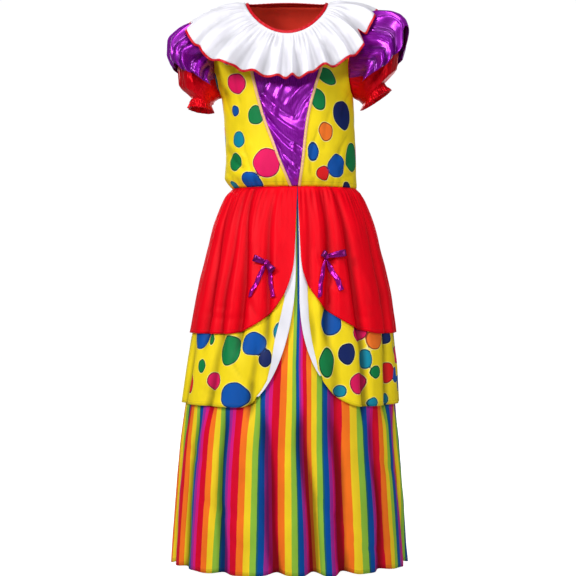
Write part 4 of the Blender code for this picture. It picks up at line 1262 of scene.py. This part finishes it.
# ---------------------------------------------------------------- materials
# each cloth: the record's slot, ground colour, metallic, roughness, specular level, and the depths
# of its crumples and of its weave in metres
CLOTHS = {
    "Yellow dotted satin": ("yellow_satin", (0.97, 0.74, 0.010), 0.0, 0.50, 0.14, 0.0009, 10e-6),
    "Purple satin": ("purple_satin", (0.33, 0.004, 0.46), 0.55, 0.27, 0.60, 0.0004, 8e-6),
    "Gold piping": ("gold_piping", (0.93, 0.54, 0.26), 0.10, 0.42, 0.30, 0.0005, 12e-6),
    "Red satin": ("red_satin", (0.88, 0.000, 0.010), 0.05, 0.46, 0.08, 0.0010, 10e-6),
    # the neck facing's lining: its own orange-red, set lighter than the red satin as painted light
    # for the dim inside of the neck
    "Red lining painted lighter": ("red_satin", (1.00, 0.060, 0.035), 0.0, 0.55, 0.20, 0.0008, 10e-6),
    "Red puff satin": ("red_satin", (0.84, 0.001, 0.010), 0.42, 0.34, 0.12, 0.0008, 9e-6),
    "Red binding": ("red_satin", (0.62, 0.002, 0.012), 0.10, 0.36, 0.25, 0.0003, 12e-6),
    "White satin": ("white_satin", (0.86, 0.85, 0.92), 0.0, 0.34, 0.45, 0.0010, 9e-6),
    "Rainbow satin": ("rainbow_stripe", (0.80, 0.35, 0.30), 0.0, 0.52, 0.10, 0.0010, 10e-6),
    "Purple ribbon": ("purple_satin", (0.40, 0.002, 0.31), 0.68, 0.28, 0.50, 0.0003, 14e-6),
}
# how much painted shade a fold's depth puts on the cloth: most cloths, then the others
PLAIN_SHADE = 0.6
FOLD_SHADE = {
    "White satin": 0.30, "Red satin": 0.42, "Rainbow satin": 0.66, "Red binding": 0.2,
    "Gold piping": 0.3,
}
HEMMED = ("Yellow dotted satin", "Red satin", "Rainbow satin")
HEM_STEP = 0.00035          # height of a hem's step and stitches
THREAD_COLOUR = (0.10, 0.02, 0.02)
THREAD_SHARE = 0.35         # how much of it shows in a stitch
SLUB_GLOSS = 0.16           # how far the slubs change the roughness
BUMP_STRENGTH = 0.55


def cloth_material(name, settings):
    """A satin: its print or plain colour, its weave, its crumples and its hem's stitches."""
    if name in bpy.data.materials:
        return bpy.data.materials[name]
    _, ground, metallic, roughness, specular, crumple, weave = CLOTHS[name]
    material = bpy.data.materials.new(name)
    material.use_nodes = True
    material.diffuse_color = (*ground, 1.0)
    tree = material.node_tree
    shader = tree.nodes["Principled BSDF"].inputs

    def group(label, **feeds):
        first = add_node(tree, "Group", node_tree=bpy.data.node_groups[label])
        node = first.socket.node
        for key, value in feeds.items():
            feed(node.inputs[key], value)
        return [Wire(socket) for socket in node.outputs]

    def attribute(label, output="Fac"):
        return add_node(tree, "Attribute", output=output, attribute_name=label)

    cut = add_node(tree, "UVMap", output="UV", uv_map="Cut")
    place = add_node(tree, "TexCoord", output="Object")
    thread_height, slub = group("Satin weave", Vector=cut)
    soft_height, tone_and_fold_shade = group(
        "Crumple and fold shade", Vector=place, Fold=attribute("fold_shade_mark"),
        Shade=FOLD_SHADE.get(name, PLAIN_SHADE),
    )
    colour = add_node(tree, "RGB")
    colour.socket.default_value = (*ground, 1.0)
    if name.startswith("Yellow"):
        [colour] = group(
            "Dotted print", Edge=attribute("dot_edge"), Ink=attribute("dot_ink", "Color"),
            Ground=colour,
        )
    if name.startswith("Rainbow"):
        across = split(cut)[0] * (1 / settings.stripe_repeat) + STRIPE_START
        [colour] = group("Rainbow stripes", Across=across, Vector=cut)
    # the colour times the tone: painted shade in the crumples and the deep folds
    colour = blend(1.0, colour, tone_and_fold_shade, "MULTIPLY")
    height = thread_height * weave + soft_height * crumple
    if name in HEMMED:
        hem_height, thread = group("Hem stitches", Vector=cut)
        height = hem_height * HEM_STEP + height
        colour = blend(thread * THREAD_SHARE, colour, THREAD_COLOUR)
    bump = {"Strength": BUMP_STRENGTH, "Distance": 1.0, "Height": height}
    for label, value in (
        ("Base Color", colour), ("Metallic", metallic), ("Specular IOR Level", specular),
        ("Roughness", slub * SLUB_GLOSS + (roughness - SLUB_GLOSS / 2)),
        ("Normal", add_node(tree, "Bump", bump, "Normal")),
    ):
        feed(shader[label], value)
    return material


def build_groups():
    if "Satin weave" not in bpy.data.node_groups:
        for make in (weave_group, crumple_and_shade_group, hem_group, dot_group, stripe_group):
            make()


# ---------------------------------------------------------------- the pieces
# each piece: the solid it stands for, its cloth, faces across and down, the size of its UV map,
# the width and length of its flat cut, how it is held, and its area where not a rectangle; the
# skirt's map is a repeat of the stripes wide, and each loop has a length of its own
PIECES = {
    "front_{}": (
        "bodice_front_{}", "Yellow dotted satin", (64, 110), (0.20, 0.44),
        (0.200, 0.440), "stretched", 0.060,
    ),
    "piping_strip_{}": (
        "piping_{}", "Gold piping", (10, 190), (0.012, 0.37), (0.010, 0.370), "stretched", 0.0027,
    ),
    "insert": (
        "front_insert", "Purple satin", (90, 130), (0.20, 0.42), (0.200, 0.420), "stretched", 0.040,
    ),
    "back": (
        "bodice_back", "Yellow dotted satin", (110, 90), (0.48, 0.44),
        (0.480, 0.440), "stretched", 0.165,
    ),
    "facing": (
        "neck_facing", "Red lining painted lighter", (60, 26), (0.27, 0.10), (0.270, 0.110), "stretched", 0.028,
    ),
    "neck_tape": (
        "neck_binding", "Red binding", (260, 8), (0.52, 0.012), (0.520, 0.012), "stretched", None,
    ),
    "ruffle_collar": (
        "collar", "White satin", (740, 36), (1.30, 0.125), (1.300, 0.125), "gathered", None,
    ),
    "collar_tape": (
        "collar_edging", "Red binding", (740, 4), (1.30, 0.010),
        (1.300, 0.010), "stretched", 0.0100,
    ),
    "puff_sleeve_{}": (
        "puff_{}", "Red puff satin", (256, 60), (0.62, 0.24), (0.500, 0.240), "gathered", 0.060,
    ),
    "sleeve_flounce_{}": (
        "flounce_{}", "Purple satin", (280, 28), (0.70, 0.10), (0.640, 0.125), "gathered", 0.065,
    ),
    "striped_skirt": (
        "skirt", "Rainbow satin", (380, 80), (None, 0.83), (1.660, 0.830), "gathered", 1.080,
    ),
    "overskirt_{}": (
        "overskirt_front_{}", "Red satin", (140, 66), (0.62, 0.32),
        (0.360, 0.330), "gathered", 0.100,
    ),
    "overskirt_behind": (
        "overskirt_back", "Red satin", (220, 56), (1.24, 0.32), (0.720, 0.330), "gathered", None,
    ),
    "tier_{}": (
        "tier_front_{}", "Yellow dotted satin", (140, 66), (0.50, 0.475),
        (0.420, 0.485), "gathered", 0.150,
    ),
    "tier_behind": (
        "tier_back", "Yellow dotted satin", (220, 56), (1.00, 0.475),
        (0.740, 0.485), "gathered", None,
    ),
    "white_band_{}": (
        "tier_band_{}", "White satin", (12, 130), (0.035, 0.50), (0.035, 0.500), "hung", 0.008,
    ),
    "ribbon_{}_loop_{}": (
        "bow_{}_loop_{}", "Purple ribbon", (60, 10), (0.045, LOOP_WIDTH), None, "folded", None,
    ),
    "ribbon_{}_tail_{}": (
        "bow_{}_tail_{}", "Purple ribbon", (10, 60), (TAIL_WIDTH, 0.085),
        (TAIL_WIDTH, 0.085), "hung", None,
    ),
}
SIDES = {"left": -1, "right": 1}


def settle(item, solid):
    """Puts a piece in its solid's place."""
    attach(item, "root")
    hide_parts(solid)


def sew(settings, piece, place, *words, wall=None, cut=None, **how):
    """Lays a piece of cloth on its form, in its solid's place."""
    solid, cloth, grid, print_size, flat, held, area = PIECES[piece]
    grid = [max(least, round(count * settings.fineness)) for least, count in zip((8, 4), grid)]
    item = lay_cloth(
        piece.format(*words), grid, place, (print_size[0] or settings.stripe_repeat, print_size[1]),
        cloth_material(cloth, settings), wall or settings.cloth_wall, **how,
    )
    settle(item, solid.format(*words))
    return item


def knot_mesh(name, middle):
    """A knot: a ball drawn in by its folds."""
    shape = bmesh.new()
    shape.loops.layers.uv.new("Cut")
    bmesh.ops.create_uvsphere(shape, u_segments=36, v_segments=20, radius=1.0, calc_uvs=True)
    for vert in shape.verts:
        x, y, z = vert.co
        sides = 0.10 * math.cos(math.atan2(y, x) * 6) * (1 - abs(z))
        pinch = 1 - sides - 0.12 * math.cos(z * 9)
        vert.co = (x * KNOT[0] * pinch, y * KNOT[1] * pinch, z * KNOT[2])
    bmesh.ops.translate(shape, vec=tuple(middle), verts=shape.verts[:])
    return to_mesh(shape, name)


# ---------------------------------------------------------------- the stage, in metres
FLOOR_COLOUR = (0.55, 0.55, 0.56)
FLOOR_HALF = 9.0
HEM_DROP = 0.004            # how far the hem's lowest point is below its height
LIT_MIDDLE = (0.0, 0.0, -0.6)
# lights: place, size, share of the main one's power
LIGHTS = {
    "Key": ((-2.3, -2.3, 1.1), 0.7, 1.0),
    "Front": ((0.4, -3.2, 1.1), 0.7, 0.60),
    "Fill": ((2.6, -1.6, -0.3), 1.0, 0.16),
    "Top": ((0.0, -1.2, 1.9), 0.7, 0.30),
    "Back left": ((-1.0, 3.4, 0.8), 2.0, 0.50),
    "Back right": ((0.6, 3.6, -0.2), 2.0, 0.22),
}
SURROUND_COLOUR = (0.97, 0.98, 1.0)
SURROUND_SEEN = 1.04        # its strength as the camera sees it, and as a light
SURROUND_LIGHT = 0.16
SENSOR_WIDTH = 36.0         # in millimetres
CAMERA_DISTANCE = 3.2
CAMERA_HEIGHT = -0.636
HALF_VIEW = 0.6451          # half the width that is in view at the dress


# ---------------------------------------------------------------- settings and operators
class DressSettings(bpy.types.PropertyGroup):
    cloth_wall: bpy.props.FloatProperty(
        name="Cloth thickness", description="Thickness of the shells of cloth",
        default=0.0006, min=0.0002, max=0.002, unit="LENGTH", precision=4,
    )
    trim_wall: bpy.props.FloatProperty(
        name="Trim thickness", description="Thickness of the bindings and the piping",
        default=0.0013, min=0.0005, max=0.003, unit="LENGTH", precision=4,
    )
    stripe_repeat: bpy.props.FloatProperty(
        name="Stripe repeat", description="Width of one rainbow of the skirt's stripes",
        default=0.083, min=0.03, max=0.3, unit="LENGTH", precision=4,
    )
    fineness: bpy.props.FloatProperty(
        name="Fineness", description="Share of the full number of faces in each piece",
        default=1.0, min=0.2, max=1.0, subtype="FACTOR",
    )
    floor_gap: bpy.props.FloatProperty(
        name="Floor gap", description="Space between the hem and the floor",
        default=0.004, min=0.0, max=0.5, unit="LENGTH", precision=4,
    )
    floor_glow: bpy.props.FloatProperty(
        name="Floor glow", description="How much the pale floor glows towards the camera",
        default=1.0, min=0.0, max=20.0,
    )
    light_power: bpy.props.FloatProperty(
        name="Light power", description="Power of the main soft light",
        default=62.0, min=1.0, max=500.0, unit="POWER",
    )


class DressOperator:
    bl_options = {"REGISTER", "UNDO"}

    def execute(self, context):
        settings = context.scene.dress_settings
        build_groups()
        made = self.build(settings)
        if not made or any(len(item.data.vertices) == 0 for item in made):
            raise RuntimeError(f"{self.bl_label} made an empty piece")
        return {"FINISHED"}


class DRESS_OT_bodice(DressOperator, bpy.types.Operator):
    """Makes the dotted fronts and back, the satin insert, its piping and the neck facing"""

    bl_idname = "dress.bodice"
    bl_label = "Bodice"

    def build(self, settings):
        made = []
        for word, side in SIDES.items():
            panel = front_panel(side)
            place, relief = piping(side, panel)
            made += [
                sew(settings, "front_{}", on_body(panel), word, relief=body_relief, dots="bodice"),
                sew(
                    settings, "piping_strip_{}", place, word, wall=settings.trim_wall,
                    relief=relief,
                ),
            ]
        return made + [
            sew(settings, "insert", on_body(insert_panel), relief=insert_relief),
            sew(settings, "back", on_body(back_panel), relief=body_relief, dots="bodice"),
            sew(settings, "facing", facing_place, relief=body_relief, lift=-FACING_DEPTH),
        ]


class DRESS_OT_neck(DressOperator, bpy.types.Operator):
    """Makes the neck's binding, the gathered ruffle collar and the binding of its edge"""

    bl_idname = "dress.neck"
    bl_label = "Neck and collar"

    def build(self, settings):
        trim = settings.trim_wall
        return [
            sew(
                settings, "neck_tape", neck_tape_place, wall=trim, whole_turn=True,
                relief=neck_tape_relief,
            ),
            sew(settings, "ruffle_collar", collar_place, whole_turn=True),
            sew(
                settings, "collar_tape", collar_tape_place, wall=trim, whole_turn=True,
                lift=EDGING_LIFT,
            ),
        ]


class DRESS_OT_sleeves(DressOperator, bpy.types.Operator):
    """Makes the puff sleeves with their elastic and frill, and the flounces over them"""

    bl_idname = "dress.sleeves"
    bl_label = "Sleeves"

    def build(self, settings):
        made = []
        for word, side in SIDES.items():
            made += [
                sew(settings, "puff_sleeve_{}", puff_place(word, side), word, whole_turn=True),
                sew(settings, "sleeve_flounce_{}", flounce_place(word, side), word),
            ]
        return made


class DRESS_OT_skirts(DressOperator, bpy.types.Operator):
    """Makes the striped skirt, the dotted tier with its white bands, and the red overskirt"""

    bl_idname = "dress.skirts"
    bl_label = "Skirts"

    def build(self, settings):
        made = [sew(settings, "striped_skirt", skirt_place, whole_turn=True, stripes=stripe_place)]
        for layer, dots in (("overskirt", None), ("tier", "tier")):
            for word, side in SIDES.items():
                place = front_place(layer, word, side)
                made.append(sew(settings, layer + "_{}", place, word, dots=dots))
            made.append(sew(settings, f"{layer}_behind", back_place(layer), dots=dots))
        for word, side in SIDES.items():
            made.append(sew(settings, "white_band_{}", band_place(word, side), word))
        return made


class DRESS_OT_bows(DressOperator, bpy.types.Operator):
    """Makes the two ribbon bows on the overskirt"""

    bl_idname = "dress.bows"
    bl_label = "Bows"

    def build(self, settings):
        ribbon = cloth_material("Purple ribbon", settings)
        made = []
        for word, (knot_at, *ends) in BOWS.items():
            knot = on_overskirt(*knot_at, KNOT[1] - KNOT_SUNK)
            ball = add_piece(f"ribbon_{word}_knot", knot_mesh(f"ribbon_{word}_knot", knot), ribbon)
            settle(ball, f"bow_{word}_knot")
            made.append(ball)
            for index, end_at in enumerate(ends[:2]):
                place = loop_place(knot, on_overskirt(*end_at, KNOT[1] + LOOP_RISE))
                made.append(sew(
                    settings, "ribbon_{}_loop_{}", place, word, index + 1, wall=RIBBON_WALL,
                    cut=(LOOP_LENGTHS[word][index], LOOP_WIDTH),
                ))
            for index, end_at in enumerate(ends[2:]):
                sideways = math.copysign(TAIL_WIDTH / 2 - 0.001, end_at[0] - knot_at[0])
                start_at = (knot_at[0] + sideways, knot_at[1])
                place = tail_place(start_at, end_at, 1.7 * index + knot_at[0] * 20)
                made.append(sew(
                    settings, "ribbon_{}_tail_{}", place, word, index + 1, wall=RIBBON_WALL,
                ))
        return made


def seen_by_camera(tree):
    return add_node(tree, "LightPath", output="Is Camera Ray")


class DRESS_OT_stage(DressOperator, bpy.types.Operator):
    """Makes the pale floor, the soft lights and the camera"""

    bl_idname = "dress.stage"
    bl_label = "Stage"

    def build(self, settings):
        scene = bpy.context.scene
        material = bpy.data.materials.new("Pale floor")
        material.use_nodes = True
        shader = material.node_tree.nodes["Principled BSDF"].inputs
        for label, value in (
            ("Base Color", FLOOR_COLOUR), ("Roughness", 0.9), ("Emission Color", (1.0, 1.0, 1.0)),
            ("Emission Strength", seen_by_camera(material.node_tree) * settings.floor_glow),
        ):
            feed(shader[label], value)
        shape = bmesh.new()
        bmesh.ops.create_grid(shape, x_segments=1, y_segments=1, size=FLOOR_HALF)
        down = SKIRT_HEM - HEM_DROP - settings.floor_gap
        bmesh.ops.translate(shape, vec=(0, 0, down), verts=shape.verts[:])
        floor = add_piece("floor", to_mesh(shape, "floor"), material)
        for label, (spot, size, share) in LIGHTS.items():
            data = bpy.data.lights.new(label, "AREA")
            data.size = size
            data.energy = settings.light_power * share
            lamp = bpy.data.objects.new(label, data)
            lamp.location = spot
            aim = Vector(LIT_MIDDLE) - Vector(spot)
            lamp.rotation_euler = aim.to_track_quat("-Z", "Y").to_euler()
            scene.collection.objects.link(lamp)
            lamp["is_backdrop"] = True
        world = bpy.data.worlds.new("Pale surround")
        world.use_nodes = True
        background = world.node_tree.nodes["Background"].inputs
        seen = seen_by_camera(world.node_tree)
        feed(background[0], SURROUND_COLOUR)
        feed(background[1], seen * (SURROUND_SEEN - SURROUND_LIGHT) + SURROUND_LIGHT)
        scene.world = world
        lens = bpy.data.cameras.new("Front camera")
        lens.sensor_width = SENSOR_WIDTH
        lens.lens = SENSOR_WIDTH / 2 / (HALF_VIEW / CAMERA_DISTANCE)
        camera = bpy.data.objects.new("Front camera", lens)
        camera.location = (0.0, -CAMERA_DISTANCE, CAMERA_HEIGHT)
        camera.rotation_euler = (math.pi / 2, 0.0, 0.0)
        scene.collection.objects.link(camera)
        scene.camera = camera
        scene.view_settings.view_transform = "Standard"
        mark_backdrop(floor, camera)
        return [floor]


class DRESS_PT_panel(bpy.types.Panel):
    """The dress's settings and the steps that make it"""

    bl_idname = "DRESS_PT_panel"
    bl_label = "Clown dress"
    bl_space_type = "VIEW_3D"
    bl_region_type = "UI"
    bl_category = "Clown dress"

    def draw(self, context):
        column = self.layout.column()
        for name in DressSettings.__annotations__:
            column.prop(context.scene.dress_settings, name)
        for operator in OPERATORS:
            column.operator(operator.bl_idname)


OPERATORS = (
    DRESS_OT_bodice, DRESS_OT_neck, DRESS_OT_sleeves, DRESS_OT_skirts, DRESS_OT_bows,
    DRESS_OT_stage,
)
CLASSES = (DressSettings, *OPERATORS, DRESS_PT_panel)


def register():
    for item in CLASSES:
        bpy.utils.register_class(item)
    bpy.types.Scene.dress_settings = bpy.props.PointerProperty(type=DressSettings)


def unregister():
    del bpy.types.Scene.dress_settings
    for item in reversed(CLASSES):
        bpy.utils.unregister_class(item)


def corners():
    low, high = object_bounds()
    return [list(low), list(high)]


def main():
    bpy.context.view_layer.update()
    register()
    for operator in OPERATORS:
        family, step = operator.bl_idname.split(".")
        getattr(getattr(bpy.ops, family), step)()


if __name__ == "__main__":
    main()
